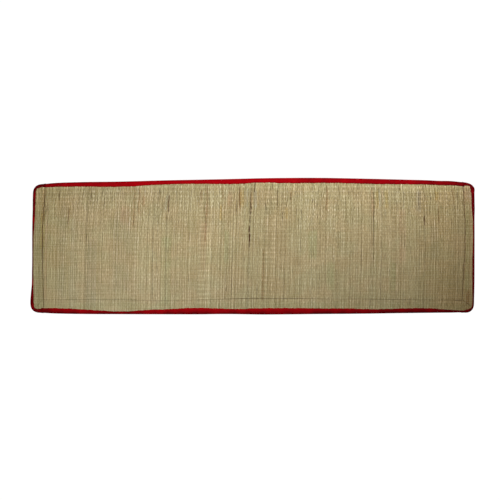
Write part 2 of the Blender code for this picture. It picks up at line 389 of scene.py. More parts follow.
# Single cracks, split reeds and knots
BACK_CRACKS = table(
    ("along", "back", "front", "dark"),
    (-864, 251, 207, 1.7),
    (-722, 265, 193, 1.3),
    (-665, 216, 180, 1.2),
    (-513, 251, 202, 1),
    (-418, 251, 198, 1.5),
    (-376, 229, 153, 3.6),
    (-232, 251, 207, 1.3),
    (-202, 269, 139, 1),
    (-72, 207, 148, 1.5),
    (-58, 265, 175, 1.8),
    (89, 283, 251, 2.2),
    (112, 251, 180, 1.7),
    (170, 238, 202, 1.5),
    (269, 211, 193, 2),
    (331, 269, 162, 0.9),
    (386, 265, 247, 1.6),
    (657, 265, 251, 1.7),
    (727, 238, 189, 1),
    (742, 242, 175, 1.3),
    (795, 242, 198, 1.3),
    (918, 233, 162, 1.4),
)
MIDDLE_CRACKS = table(
    ("along", "back", "front", "dark"),
    (-824, 171, 95, 1.3),
    (-744, 184, 54, 0.7),
    (-742, 54, 32, 2),
    (-531, 153, 99, 1.3),
    (-386, 139, 113, 1.3),
    (-211, 139, 23, 0.9),
    (-121, -98, -241, 0.9),
    (-94, -44, -241, 0.9),
    (-38, -49, -66, 1.9),
    (47, -71, -241, 0.9),
    (134, 157, 113, 1.4),
    (139, -98, -241, 1),
    (218, 162, 144, 1.4),
    (290, 144, 122, 1.3),
    (434, -71, -241, 0.9),
    (487, -17, -107, 0.9),
    (572, -71, -241, 0.9),
    (766, 135, 113, 4),
    (769, 117, 95, 4),
    (832, 171, 108, 1),
    (888, 126, 99, 1.3),
)

# Reeds of another colour: where they lie, and how wide a band they make
TINTED_REEDS = {
    "brown": table(
        ("along", "back", "front", "width"),
        # Along the left end's crease: painted shade of the crease, as a brown band
        (-935, 255, 112, 18),
        (-823, 171, 95, 7),
        (-530, 251, 90, 8),
        (-507, 251, 148, 7),
        (-488, 225, 180, 12),
        (-231, 251, 202, 7),
        (-210, 148, 23, 7),
        (-202, 269, 139, 8),
        (-134, 283, 211, 6),
        (-56, 265, 171, 11),
        (-4, 269, 153, 8),
        (47, -17, -241, 11),
        (171, 242, 198, 9),
        (333, 269, 162, 9),
        (538, 251, 153, 10),
        (831, 184, 108, 8),
        (899, 251, 184, 7),
        (964, -200, -262, 18),
    ),
    "pink": table(
        ("along", "back", "front", "width"),
        (-924, 207, -241, 10),
        (-572, 175, 99, 38),
        (-220, 108, -107, 24),
        (-102, 247, 180, 18),
        (533, 251, -71, 6),
        (581, 251, 189, 7),
        (671, 162, -71, 30),
        (-234, -266, -274, 70),
    ),
    "ochre": table(
        ("along", "back", "front", "width"),
        (-142, 180, 113, 10),
        (-50, 247, 178, 22),
        (151, 171, 122, 12),
        (557, 247, 171, 15),
        (599, 247, 171, 14),
        (-940, 150, -10, 20),
        (823, 245, 205, 14),
    ),
    "grey": table(
        ("along", "back", "front", "width"),
        (-388, 229, 157, 10),
        (-23, 260, 175, 8),
        (12, 251, 171, 14),
        (567, 251, 175, 7),
        (742, 251, 153, 20),
        (966, 249, 213, 16),
    ),
    "green": table(
        ("along", "back", "front", "width"),
        (-390, 40, -260, 44),
        (-117, 72, -71, 18),
        (268, 72, -53, 40),
        (626, -71, -196, 28),
        (348, -71, -196, 34),
        (961, 207, -205, 15),
    ),
    "light": table(
        ("along", "back", "front", "width"),
        (-503, 251, 180, 5),
        (-464, 5, -241, 5),
        (-181, 260, 135, 8),
        (-133, 28, -116, 5),
        (-111, 251, 28, 5),
        (21, 283, 247, 12),
        (129, -71, -241, 6),
        (375, 139, -71, 4),
        (508, 184, 63, 9),
        (550, 184, 108, 4),
        (-623, 269, 139, 12),
        (-211, 60, -275, 44),
        (-957, 213, 151, 22),
        (966, 249, 213, 16),
        (903, -248, -272, 46),
    ),
    "dull": table(
        ("along", "back", "front", "width"),
        (-722, 30, -275, 46),
        (815, 90, -60, 30),
    ),
    "fair": table(
        ("along", "back", "front", "width"),
        (-453, 262, -280, 78),
        (-171, 262, -280, 50),
        (-24, 120, -280, 26),
        (250, 262, -280, 100),
        (540, 200, -280, 26),
    ),
    "dim": table(
        ("along", "back", "front", "width"),
        (-855, 200, -280, 30),
        (-802, 200, -280, 28),
        (-588, 160, -200, 80),
    ),
}

# How strongly the single reeds of a band have its tint, how far their ends stray from the band's,
# and the width from which they stray that far
BAND_STRENGTHS = (0.4, 1.15)
BAND_STRAY = 4.0 * MM
WIDE_BAND = 20.0 * MM

# What a tint multiplies red, green and blue by: in bands of reeds, and in whole zones of the mat
TINTS = {
    "brown": (0.84, 0.74, 0.66),
    "pink": (1.02, 0.94, 0.96),
    "ochre": (0.99, 0.92, 0.72),
    "grey": (0.91, 0.96, 1.10),
    "green": (0.91, 1.0, 0.95),
    "light": (1.17, 1.18, 1.22),
    "dull": (0.87, 0.88, 0.90),
    "fair": (1.07, 1.095, 1.13),
    "dim": (0.91, 0.92, 0.94),
    "long edges": (0.965, 1.0, 0.975),
    "left end": (0.79, 0.80, 0.75),
    "left end, back": (1.16, 1.10, 1.08),
    "right end": (0.92, 0.88, 0.84),
    "right end, back": (1.08, 1.03, 1.14),
    "beside right crease": (0.95, 0.93, 0.92),
    "at back tape": (1.07, 1.07, 1.08),
    "toward left": (0.94, 0.95, 0.885),
    "toward right": (0.925, 0.885, 0.81),
    "front right": (0.93, 0.91, 0.85),
    "front left": (0.985, 1.0, 1.045),
    "back left": (1.02, 0.985, 0.95),
}


def line_through(columns, name, at):
    """A table's column at places along its first column, by straight lines between its rows."""
    places = next(iter(columns.values()))
    return np.interp(at, places, columns[name])


def curve_through(columns, name, at):
    """A table's column at places along its first column, by a smooth curve: a cubic between each
    two rows, with the rows' mean slopes."""
    places, values = next(iter(columns.values())), columns[name]
    slopes = np.gradient(values, places)
    i = np.clip(np.searchsorted(places, at) - 1, 0, len(places) - 2)
    step = places[i + 1] - places[i]
    t = np.clip((at - places[i]) / step, 0, 1)
    rise = values[i + 1] - values[i]
    pull = (1 - t) * (slopes[i] * step - rise) - t * (slopes[i + 1] * step - rise)
    return values[i] + t * rise + t * (1 - t) * pull


def smooth_step(value, low, high):
    """0 at low and 1 at high, and between them t squared times 3 - 2t. Low may be the larger."""
    t = np.clip((value - low) / (high - low), 0, 1)
    return t * t * (3 - 2 * t)


def inset_of(along, across):
    """How far inside the flat rectangle a point lies."""
    return np.minimum(HALF_LENGTH - np.abs(along), HALF_WIDTH - np.abs(across))


def corner_arc(turn, power):
    """A corner's line from its side to its diagonal, by the angle: along to the side and up. The
    sum of both, each to the power, is 1, so 2 gives a circle and more gives a squarer corner."""
    reach = (np.cos(turn) ** power + np.sin(turn) ** power) ** (-1 / power)
    return reach * np.cos(turn), reach * np.sin(turn)


def round_corners(along, across):
    """A square ring round a corner becomes an arc of its own size, less so further in."""
    power = 0.0
    for (end, side), squareness in CORNERS.items():
        here = ((along > 0) == (end == "right")) & ((across > 0) == (side == "back"))
        power = power + squareness * here
    a = (np.abs(along) - (HALF_LENGTH - CORNER_SQUARE)) / CORNER_SQUARE
    b = (np.abs(across) - (HALF_WIDTH - CORNER_SQUARE)) / CORNER_SQUARE
    inside = (a > 0) & (b > 0)
    ring = np.maximum(np.maximum(a, b), 1e-9)
    turn = np.pi / 4 * np.clip(np.minimum(a, b), 0, None) / ring
    far, near = corner_arc(turn, power)
    far, near = ring * far, ring * near
    arc_a, arc_b = np.where(a > b, far, near), np.where(a > b, near, far)
    share = np.where(inside, np.clip(ring / FULLY_ROUND, 0, 1), 0.0)
    moved_a = (arc_a - a) * share * CORNER_SQUARE
    moved_b = (arc_b - b) * share * CORNER_SQUARE
    return along + np.sign(along) * moved_a, across + np.sign(across) * moved_b


def draw_in(along, across):
    """The edges' own lines: each edge's shift is full in the margin and fades to the middle."""
    x, y = along, across
    for end in ("left", "right"):
        share = np.clip(SIGNS[end] * along / (HALF_LENGTH - CALM_INSET), 0, 1)
        x = x - SIGNS[end] * share * curve_through(SHORT_EDGES, end, across)
    for side in ("front", "back"):
        share = np.clip(SIGNS[side] * across / (HALF_WIDTH - CALM_INSET), 0, 1)
        y = y - SIGNS[side] * share * curve_through(LONG_EDGES, side, along)
    return x, y


def lay_out(along, across):
    """Where a point of the flat rectangle lies in the real outline."""
    return draw_in(*round_corners(along, across))


def flat_place(x, y, rounds=14):
    """The point of the flat rectangle that lay_out puts at x, y: a guess, corrected by its miss."""
    along, across = x.copy(), y.copy()
    for _ in range(rounds):
        there_x, there_y = lay_out(along, across)
        along += x - there_x
        across += y - there_y
    return along, across


def fold_place(fold, across):
    """A fold's line: a parabola through its places at the back edge, the middle and the front."""
    t = across / HALF_WIDTH
    slant = (fold["back"] - fold["front"]) / 2
    bow = (fold["back"] + fold["front"]) / 2 - fold["middle"]
    return fold["middle"] + slant * t + bow * t * t


def rows_of(columns):
    """The rows of a table, each with its columns' names."""
    return [dict(zip(columns, row)) for row in zip(*columns.values())]


# Meshes


def put_in_scene(name, data):
    """An object in the scene, made from its data."""
    obj = bpy.data.objects.new(name, data)
    bpy.context.scene.collection.objects.link(obj)
    return obj


def grid_faces(rows, columns, first=0):
    """Four-sided faces of a grid of points, facing the viewer when columns go right and rows up."""
    index = first + np.arange(rows * columns).reshape(rows, columns)
    corners = (index[:-1, :-1], index[:-1, 1:], index[1:, 1:], index[1:, :-1])
    return np.stack(corners, axis=-1).reshape(-1, 4)


def strip_faces(lower, upper):
    """Four-sided faces between two rows of point numbers, facing the viewer when upper is above."""
    return np.stack((lower[:-1], lower[1:], upper[1:], upper[:-1]), axis=-1)


def make_piece(name, points, faces, material, weave=None, sharp=60, of_faces=None, **values):
    """A mesh object from points, from faces as arrays or lists of point numbers, from a place on
    its weave for each point, from named numbers for each face, and from named numbers or colours
    for each point."""
    corners = np.concatenate([np.ravel(block) for block in faces]).astype(np.int32)
    counts = np.concatenate([np.full(len(b), b.shape[1]) if b.ndim == 2 else [len(b)] for b in faces])
    mesh = bpy.data.meshes.new(name)
    mesh.vertices.add(len(points))
    mesh.vertices.foreach_set("co", np.ascontiguousarray(points, np.float32).ravel())
    mesh.loops.add(len(corners))
    mesh.loops.foreach_set("vertex_index", corners)
    mesh.polygons.add(len(counts))
    starts = np.concatenate([[0], np.cumsum(counts)[:-1]]).astype(np.int32)
    mesh.polygons.foreach_set("loop_start", starts)
    mesh.update(calc_edges=True)
    if weave is not None:
        layer = mesh.uv_layers.new(name="weave")
        layer.data.foreach_set("uv", np.ascontiguousarray(weave[corners], np.float32).ravel())
    for key, value in values.items():
        kind = "FLOAT" if value.ndim == 1 else "FLOAT_COLOR"
        field = "value" if value.ndim == 1 else "color"
        attribute = mesh.attributes.new(key, kind, "POINT")
        attribute.data.foreach_set(field, np.ascontiguousarray(value, np.float32).ravel())
    for key, value in (of_faces or {}).items():
        attribute = mesh.attributes.new(key, "FLOAT", "FACE")
        attribute.data.foreach_set("value", np.ascontiguousarray(value, np.float32))
    mesh.shade_smooth()
    mesh.set_sharp_from_angle(angle=np.radians(sharp))
    mesh.materials.append(material)
    return put_in_scene(name, mesh)


# Shader nodes


def join(tree, sockets, inputs):
    """Gives each named socket its value, or joins it to the output that is given for it."""
    for key, value in inputs.items():
        if isinstance(value, bpy.types.NodeSocket):
            tree.links.new(value, sockets[key])
        else:
            sockets[key].default_value = value


def node(tree, kind, inputs=None, **settings):
    """A shader node with these settings and inputs."""
    made = tree.nodes.new("ShaderNode" + kind)
    for key, value in settings.items():
        setattr(made, key, value)
    join(tree, made.inputs, inputs or {})
    return made


def maths(tree, operation, *values):
    """One step of arithmetic."""
    return node(tree, "Math", dict(enumerate(values)), operation=operation).outputs[0]


def between(tree, value, low, high, to_low=0.0, to_high=1.0, smooth=True):
    """Goes from to_low to to_high while value goes from low to high, and stays level outside."""
    kind = "SMOOTHSTEP" if smooth else "LINEAR"
    ends = {1: low, 2: high, 3: to_low, 4: to_high}
    return node(tree, "MapRange", {0: value, **ends}, interpolation_type=kind).outputs[0]


def mixed(tree, kind, share, first, second):
    """Two colours mixed or multiplied, by a share."""
    made = node(tree, "Mix", {0: share, 6: first, 7: second}, data_type="RGBA", blend_type=kind)
    return made.outputs[2]


def pair(tree, x, y):
    """A vector from two numbers."""
    return node(tree, "CombineXYZ", {0: x, 1: y}).outputs[0]


def noise(tree, vector, scale, detail=2.0, dimensions="2D"):
    """Soft noise, from 0 to 1 and about 0.5 on average."""
    inputs = {"Vector": vector, "Scale": scale, "Detail": detail}
    return node(tree, "TexNoise", inputs, noise_dimensions=dimensions).outputs[0]


def new_group(name, inputs, outputs):
    """An empty node group with these sockets, and its input and output nodes."""
    tree = bpy.data.node_groups.new(name, "ShaderNodeTree")
    for key, kind in inputs.items():
        tree.interface.new_socket(name=key, in_out="INPUT", socket_type="NodeSocket" + kind)
    for key, kind in outputs.items():
        tree.interface.new_socket(name=key, in_out="OUTPUT", socket_type="NodeSocket" + kind)
    return tree, tree.nodes.new("NodeGroupInput").outputs, tree.nodes.new("NodeGroupOutput").inputs


def use_group(tree, group, **inputs):
    """The outputs of a node group, with a value or an output to join for each of its sockets."""
    return node(tree, "Group", inputs, node_tree=group).outputs


def fibre_tone_group():
    """Tone along single fibres, about 0 on average: one tone for each whole fibre, one that
    changes slowly along it, and one that changes fast, less a part of what its second neighbours
    have, which keeps pale and dark ones close together. Fibre is its number, Along its length."""
    tree, given, made = new_group(
        "fibre tone",
        {"Fibre": "Float", "Along": "Float", "Whole": "Float", "Slow": "Float", "Fast": "Float"},
        {"Tone": "Float"},
    )
    tone = 0.0
    for offset, weight in ((0, 1.0), (-2, -0.3), (2, -0.3)):
        fibre = maths(tree, "ADD", given["Fibre"], offset)
        whole = node(tree, "TexWhiteNoise", {"W": fibre}, noise_dimensions="1D").outputs[0]
        slow, fast = (
            noise(tree, pair(tree, maths(tree, "MULTIPLY", fibre, apart), given["Along"]), scale, 1.0)
            for apart, scale in ((7.31, 0.15), (3.77, 1.05))
        )
        for value, amount in ((whole, "Whole"), (slow, "Slow"), (fast, "Fast")):
            share = maths(tree, "MULTIPLY", maths(tree, "SUBTRACT", value, 0.5), given[amount])
            tone = maths(tree, "MULTIPLY_ADD", share, weight, tone)
    tree.links.new(tone, made["Tone"])
    return tree


def blotch_group():
    """Soft blotches of a given size in metres, from 0 to 1, from the Object coordinates."""
    tree, given, made = new_group(
        "soft blotches", {"Place": "Vector", "Size": "Float"}, {"Blotch": "Float"}
    )
    scale = maths(tree, "DIVIDE", 1.0, given["Size"])
    value = noise(tree, given["Place"], scale, 3.0, "3D")
    tree.links.new(between(tree, value, 0.3, 0.7), made["Blotch"])
    return tree


def cloth_group():
    """A plain weave of yarns: height from 0 to 1, and each crossing's own tone. Weave is the
    place on the cloth in metres and Yarn is the distance between yarns."""
    tree, given, made = new_group(
        "plain cloth", {"Weave": "Vector", "Yarn": "Float"}, {"Height": "Float", "Tone": "Float"}
    )
    scaled = {0: given["Weave"], "Scale": maths(tree, "DIVIDE", 1.0, given["Yarn"])}
    place = node(tree, "VectorMath", scaled, operation="SCALE").outputs[0]
    yarns = node(tree, "SeparateXYZ", {0: place}).outputs[:2]
    waves = [maths(tree, "SINE", maths(tree, "MULTIPLY", yarn, np.pi)) for yarn in yarns]
    height = maths(tree, "MULTIPLY_ADD", maths(tree, "MULTIPLY", *waves), 0.5, 0.5)
    crossing = pair(tree, *[maths(tree, "FLOOR", yarn) for yarn in yarns])
    tone = node(tree, "TexWhiteNoise", {"Vector": crossing}, noise_dimensions="2D").outputs[0]
    join(tree, made, {"Height": height, "Tone": tone})
    return tree


def new_material(name):
    """A material, its node tree and its Principled shader."""
    material = bpy.data.materials.new(name)
    material.use_nodes = True
    tree = material.node_tree
    return material, tree, tree.nodes["Principled BSDF"].inputs


# Linear colours
STRAW = np.array((0.372, 0.300, 0.160))
STRAW_SPREAD = np.array((0.222, 0.25, 0.365))  # how much red, green and blue change with the tone
TONE_REACH = 3.0  # the ramp goes from minus this tone to this one
DRY_TINT = (1.023, 0.997, 0.968, 1.0)
GREEN_TINT = (0.977, 1.008, 0.982, 1.0)
# Painted shade in a gap between reeds, and the painted shade and dirt of a crack
GAP_SHADE_COLOUR = (0.055, 0.040, 0.017, 1.0)
CRACK_SHADE_AND_DIRT_COLOUR = (0.060, 0.016, 0.001, 1.0)
WARP_COLOUR = (0.43, 0.365, 0.225, 1.0)
TAPE_RED = (0.315, 0.0006, 0.0032, 1.0)
TAPE_DARK = (0.095, 0.0004, 0.0012, 1.0)
TAPE_THREAD = (0.045, 0.0012, 0.0025, 1.0)
REED_THREAD = (0.085, 0.048, 0.012, 1.0)

# How far the reeds' tone swings. Each swing goes from its third number to its fourth between the
# first and the second, which are places across the mat in metres. The swings at the warps are
# painted highlight and shade: paler where a reed rises over a warp, darker where it dips under
TONE_SIZES = {
    "fast fibre": (-0.05, 0.2, 2.2, 3.4),
    "over and under": (0.05, 0.2, 0.41, 0.62),
    "second warp": (0.12, 0.235, 0.125, 0.35),
    "each warp": (0.06, 0.17, 0.24, 0.16),
    "short row": (0.13, 0.22, 0.9, 0.2),
    "all": (-0.25, 0.25, 0.87, 1.09),
}
FIBRE_TONES = {"Whole": 1.5, "Slow": 3.4}  # the same all over the mat
BROAD_BLOTCH = 110.0 * MM
BROAD_TONE = 0.35
SWING_PATCH = 28.0 * MM  # the swing at the warps is stronger and weaker in patches of this size
SHORT_ROWS_PER_METRE = 12.0  # paler and darker rows that run along a few reeds' width or more
SHORT_ROWS_PER_WARP = 1.33

# A warp that shows over a reed: the far and near sides of its thread and of the shade beside it,
# from its middle in warps, and how dark that shade is
THREAD_SIDES = (0.062, 0.038)
THREAD_SHADE_SIDES = (0.16, 0.06)
THREAD_SHADE = 0.22
THREAD_COVER = 0.85  # how much of the reed's colour the thread hides

# Painted shade in the reeds' hollows: how dark a closed gap is, what an open one adds, what a
# crack or a crease is at least, and the darkest of all
GAP_DARK = 0.35
OPEN_DARK = 0.6
CRACK_DARK = 0.93
DARKEST = 0.95

# The fine relief in millimetres: of a reed's round top, of its grain and of a thread on it
ROUND_TOP = 0.35
ROUND_FALL = -1.4
GRAIN_RELIEF = 0.10
THREAD_RELIEF = 0.28

# Tape: its yarns' distance and relief, and the sizes of its faded and its rubbed patches
YARN = 0.55 * MM
YARN_RELIEF = 0.12 * MM
FADED = 45.0 * MM
RUBBED = 8.0 * MM

# The camera sees the floor and the sky this bright, and the mat is lit by a much dimmer sky
WHITE_GLOW = 1.04
SKY_LIGHT = 0.04
# Each soft box's power and place
SOFT_BOXES = {
    "softbox_behind": (68.4, (0.6, 1.5, 1.0)),
    "softbox_left": (19.2, (-0.6, -0.3, 1.4)),
}


def read_weave(tree):
    """What the reed's shader knows of a point: its place on the mat and along and across it, its
    place on the weave counted in reeds and in warps, its reed's number, its distance from the
    reed's middle in reeds, its warp place moved to where its own reed goes over, and the mesh's
    values."""
    weave = node(tree, "UVMap", uv_map="weave").outputs[0]
    reeds, warps = node(tree, "SeparateXYZ", {0: weave}).outputs[:2]
    place = node(tree, "TexCoord").outputs["Object"]
    along, across = node(tree, "SeparateXYZ", {0: place}).outputs[:2]
    opening, shed, tint = (
        node(tree, "Attribute", attribute_name=name).outputs for name in ("opening", "shed", "tint")
    )
    in_reed = maths(tree, "FRACT", reeds)
    return SimpleNamespace(
        place=place,
        along=along,
        across=across,
        reeds=reeds,
        warps=warps,
        reed=maths(tree, "FLOOR", reeds),
        off_middle=maths(tree, "ABSOLUTE", maths(tree, "SUBTRACT", in_reed, 0.5)),
        shifted=maths(tree, "ADD", warps, shed["Fac"]),
        opening=opening["Fac"],
        tint=tint["Color"],
    )


def ridges(tree, place, turn):
    """A cosine of a place on the weave that turns by this angle from one warp to the next."""
    return maths(tree, "COSINE", maths(tree, "MULTIPLY", place, turn))


def reed_tone(tree, at, fibre_tone, blotches):
    """A reed's tone, about 0 on average and above it where the reed is paler: the tone of its
    fibres, plus broad blotches, the swings at the warps, which are painted highlight and shade of
    the reed rising over and dipping under them, and short rows along the mat."""
    size = {name: between(tree, at.across, *ends) for name, ends in TONE_SIZES.items()}
    tone = use_group(
        tree, fibre_tone, Fibre=at.reed, Along=at.warps, Fast=size["fast fibre"], **FIBRE_TONES
    )["Tone"]
    broad = use_group(tree, blotches, Place=at.place, Size=BROAD_BLOTCH)["Blotch"]
    patches = use_group(tree, blotches, Place=at.place, Size=SWING_PATCH)["Blotch"]
    patches = maths(tree, "MULTIPLY_ADD", patches, 0.7, 0.15)
    row_place = pair(
        tree,
        maths(tree, "MULTIPLY", at.along, SHORT_ROWS_PER_METRE),
        maths(tree, "MULTIPLY", at.warps, SHORT_ROWS_PER_WARP),
    )
    row = noise(tree, row_place, 1.0, 0.0)
    for value, amount in (
        (maths(tree, "SUBTRACT", broad, 0.5), BROAD_TONE),
        (ridges(tree, at.shifted, np.pi), maths(tree, "MULTIPLY", patches, size["over and under"])),
        (ridges(tree, at.warps, np.pi), size["second warp"]),
        (ridges(tree, at.warps, 2 * np.pi), size["each warp"]),
        (maths(tree, "SUBTRACT", row, 0.5), size["short row"]),
    ):
        tone = maths(tree, "MULTIPLY_ADD", value, amount, tone)
    return maths(tree, "MULTIPLY", tone, size["all"])


def straw_ramp(tree, tone):
    """Tone to colour: the mean straw colour, times e to the tone by each channel's own spread."""
    made = node(tree, "ValToRGB", {0: between(tree, tone, -TONE_REACH, TONE_REACH, smooth=False)})
    stops = made.color_ramp.elements
    stops.remove(stops[1])
    for i, place in enumerate(np.linspace(0, 1, 7)):
        stop = stops[0] if i == 0 else stops.new(place)
        stop.position = place
        colour = STRAW * np.exp(STRAW_SPREAD * (2 * place - 1) * TONE_REACH)
        stop.color = (*np.clip(colour, 0, 0.9), 1.0)
    return made.outputs[0]


def reed_colour(tree, at, tone):
    """The straw colour of a tone, greener or drier from reed to reed, times the mesh's tint."""
    dye_place = pair(tree, maths(tree, "MULTIPLY", at.reed, 0.21), at.warps)
    dye = between(tree, noise(tree, dye_place, 0.11, 2.0), 0.36, 0.64)
    colour = straw_ramp(tree, tone)
    for tint in (mixed(tree, "MIX", dye, GREEN_TINT, DRY_TINT), at.tint):
        colour = mixed(tree, "MULTIPLY", 1.0, colour, tint)
    return colour


def warps_over(tree, at, colour):
    """The warps that lie over the reeds, at every second whole number of the moved warp place: the
    reeds' colour with a thread and its shade on it, and where the thread is."""
    warp = maths(tree, "ROUND", at.shifted)
    off_warp = maths(tree, "ABSOLUTE", maths(tree, "SUBTRACT", at.shifted, warp))
    over = maths(tree, "PINGPONG", warp, 1.0)
    thread = maths(tree, "MULTIPLY", between(tree, off_warp, *THREAD_SIDES), over)
    thread = maths(tree, "MULTIPLY", thread, between(tree, at.off_middle, 0.5, 0.36))
    beside = maths(tree, "MULTIPLY", between(tree, off_warp, *THREAD_SHADE_SIDES), over)
    colour = mixed(tree, "MIX", maths(tree, "MULTIPLY", beside, THREAD_SHADE), colour, GAP_SHADE_COLOUR)
    colour = mixed(tree, "MIX", maths(tree, "MULTIPLY", thread, THREAD_COVER), colour, WARP_COLOUR)
    return colour, thread


def dark_gaps(tree, at, colour):
    """The reeds' colour with painted shade in the gaps between them, darker and browner the wider
    they open, and the painted shade of the cracks and creases marked in the openings, with some
    dirt in the cracks.
    """
    at_gap = between(tree, at.off_middle, 0.40, 0.5)
    gap_dark = maths(tree, "MULTIPLY_ADD", at.opening, OPEN_DARK, GAP_DARK)
    crack_dark = maths(tree, "MULTIPLY", at.opening, CRACK_DARK)
    dark = maths(tree, "MAXIMUM", maths(tree, "MULTIPLY", at_gap, gap_dark), crack_dark)
    shade = mixed(tree, "MIX", between(tree, at.opening, 0.3, 0.8), GAP_SHADE_COLOUR, CRACK_SHADE_AND_DIRT_COLOUR)
    return mixed(tree, "MIX", maths(tree, "MINIMUM", dark, DARKEST), colour, shade)


def reed_bump(tree, at, thread, grain):
    """The fine relief: a reed's round top, which falls by the square of the distance from its
    middle, its grain, and the thread that lies over it."""
    squared = maths(tree, "POWER", at.off_middle, 2.0)
    height = maths(tree, "MULTIPLY_ADD", squared, ROUND_FALL, ROUND_TOP)
    height = maths(tree, "MULTIPLY_ADD", grain, GRAIN_RELIEF, height)
    height = maths(tree, "MULTIPLY_ADD", thread, THREAD_RELIEF, height)
    return node(tree, "Bump", {"Height": height, "Distance": MM, "Strength": 0.8}).outputs[0]


def reed_material(fibre_tone, blotches):
    """Reeds side by side: a tone for each, which swings where it goes over and under the warps as
    painted highlight and shade, painted shade in the gaps between reeds, and the warps across
    them."""
    material, tree, shader = new_material("woven reed")
    at = read_weave(tree)
    tone = reed_tone(tree, at, fibre_tone, blotches)
    colour, thread = warps_over(tree, at, reed_colour(tree, at, tone))
    grain = noise(tree, pair(tree, maths(tree, "MULTIPLY", at.reeds, 11.0), at.warps), 0.9, 2.0)
    finish = {
        "Base Color": dark_gaps(tree, at, colour),
        "Roughness": between(tree, grain, 0.2, 0.8, 0.42, 0.68),
        "Normal": reed_bump(tree, at, thread, grain),
        "Specular IOR Level": 0.3,
    }
    join(tree, shader, finish)
    return material


def tape_material(cloth, blotches):
    """Red cotton tape: a plain weave, faded and rubbed unevenly, and darker by its soil and by the
    painted shade of its rim, its end tapes and its laps.
    """
    material, tree, shader = new_material("red cotton tape")
    weave = node(tree, "UVMap", uv_map="weave").outputs[0]
    place = node(tree, "TexCoord").outputs["Object"]
    yarns = use_group(tree, cloth, Weave=weave, Yarn=YARN)
    fading, rubbing = (
        use_group(tree, blotches, Place=place, Size=size)["Blotch"] for size in (FADED, RUBBED)
    )
    dark = node(tree, "Attribute", attribute_name="soil").outputs["Fac"]
    for value, amount in ((fading, 0.15), (rubbing, 0.16), (yarns["Tone"], 0.12)):
        dark = maths(tree, "MULTIPLY_ADD", value, amount, dark)
    colour = mixed(tree, "MIX", maths(tree, "SUBTRACT", dark, 0.165), TAPE_RED, TAPE_DARK)
    # Painted shade: the hollows between yarns darker than their tops
    lit = maths(tree, "MULTIPLY_ADD", yarns["Height"], 0.3, 0.85)
    relief = {"Height": yarns["Height"], "Distance": YARN_RELIEF, "Strength": 0.9}
    finish = {
        "Base Color": mixed(tree, "MULTIPLY", 1.0, colour, lit),
        "Roughness": between(tree, rubbing, 0.0, 1.0, 0.78, 0.92),
        "Normal": node(tree, "Bump", relief).outputs[0],
        "Specular IOR Level": 0.03,
    }
    join(tree, shader, finish)
    return material


def thread_material(name, colour, blotches):
    """Sewing thread: one dye, darker and lighter from stitch to stitch."""
    material, tree, shader = new_material(name)
    place = node(tree, "TexCoord").outputs["Object"]
    uneven = use_group(tree, blotches, Place=place, Size=4 * MM)["Blotch"]
    pale = tuple(min(1.0, 1.9 * channel) for channel in colour[:3]) + (1.0,)
    finish = {"Base Color": mixed(tree, "MIX", uneven, colour, pale), "Roughness": 0.7}
    join(tree, shader, finish)
    return material


# The reed panel


def reed_gaps(rng):
    """Where each two reeds meet, in uneven steps that fit each section, and at which of these
    places a section starts or ends."""
    gaps, firsts = [SECTION_ENDS[:1]], [0]
    for start, end in zip(SECTION_ENDS[:-1], SECTION_ENDS[1:]):
        count = round((end - start) / REED_WIDTH)
        widths = np.clip(rng.normal(1, REED_SPREAD, count), 0.6, 1.5)
        gaps.append(start + (end - start) * np.cumsum(widths)[:-1] / widths.sum())
        gaps.append([end])
        firsts.append(firsts[-1] + count)
    return np.concatenate(gaps), firsts


def ripples(rng, y, count, lengths):
    """Slow unevenness along each of many reeds, about 1 in size: sine waves with phases of their
    own. A row for each y and a column for each reed."""
    total = np.zeros((len(y), count))
    for length in lengths:
        phase = rng.uniform(0, 2 * np.pi, count)
        stretch = rng.uniform(0.75, 1.35, count)
        total += np.sin(2 * np.pi * y[:, None] / (length * MM * stretch) + phase)
    return total / np.sqrt(len(lengths) / 2)


def ribbon_noise(rng, places, lengths):
    """Unevenness along a strip, about 1 in size: sine waves of these lengths in millimetres."""
    total = sum(
        np.sin(2 * np.pi * places / (length * MM) + rng.uniform(0, 2 * np.pi)) for length in lengths
    )
    return total / np.sqrt(len(lengths) / 2)


def bunched(rng, rows, count):
    """How the reeds bunch up and spread towards the back edge, where they lie looser: a shift for
    each row and gap, much alike for a dozen gaps side by side, about 1 in size."""
    shift = ripples(rng, rows, count, (80, 170))
    window = np.hanning(13)
    for i, line in enumerate(shift):
        shift[i] = np.convolve(line, window / np.sqrt((window**2).sum()), "same")
    return shift * smooth_step(rows, 40 * MM, 230 * MM)[:, None]


def corner_reach(x, side):
    """How far the panel reaches in flat terms across the mat at each x: to the margin's ring, and
    in a corner to the ring's blend of a square and an arc."""
    reach = np.full(len(x), HALF_WIDTH - PANEL_INSET)
    size = CORNER_SQUARE - PANEL_INSET
    read_at = np.array([SIGNS[side] * (HALF_WIDTH - 25 * MM)])
    for end in ("left", "right"):
        run, rise = corner_arc(np.pi / 4 * np.linspace(0, 1, 60), CORNERS[(end, side)])
        run, rise = size * run, size * rise
        out = np.concatenate([run, rise[::-1][1:]])
        up = np.concatenate([rise, run[::-1][1:]])
        shift = curve_through(SHORT_EDGES, end, read_at)[0]
        edge = HALF_LENGTH - PANEL_INSET - shift
        into = size - (edge - SIGNS[end] * x)
        inside = into > 0
        curved = HALF_WIDTH - CORNER_SQUARE + np.interp(into[inside], out[::-1], up[::-1])
        reach[inside] = np.minimum(reach[inside], curved)
    return reach


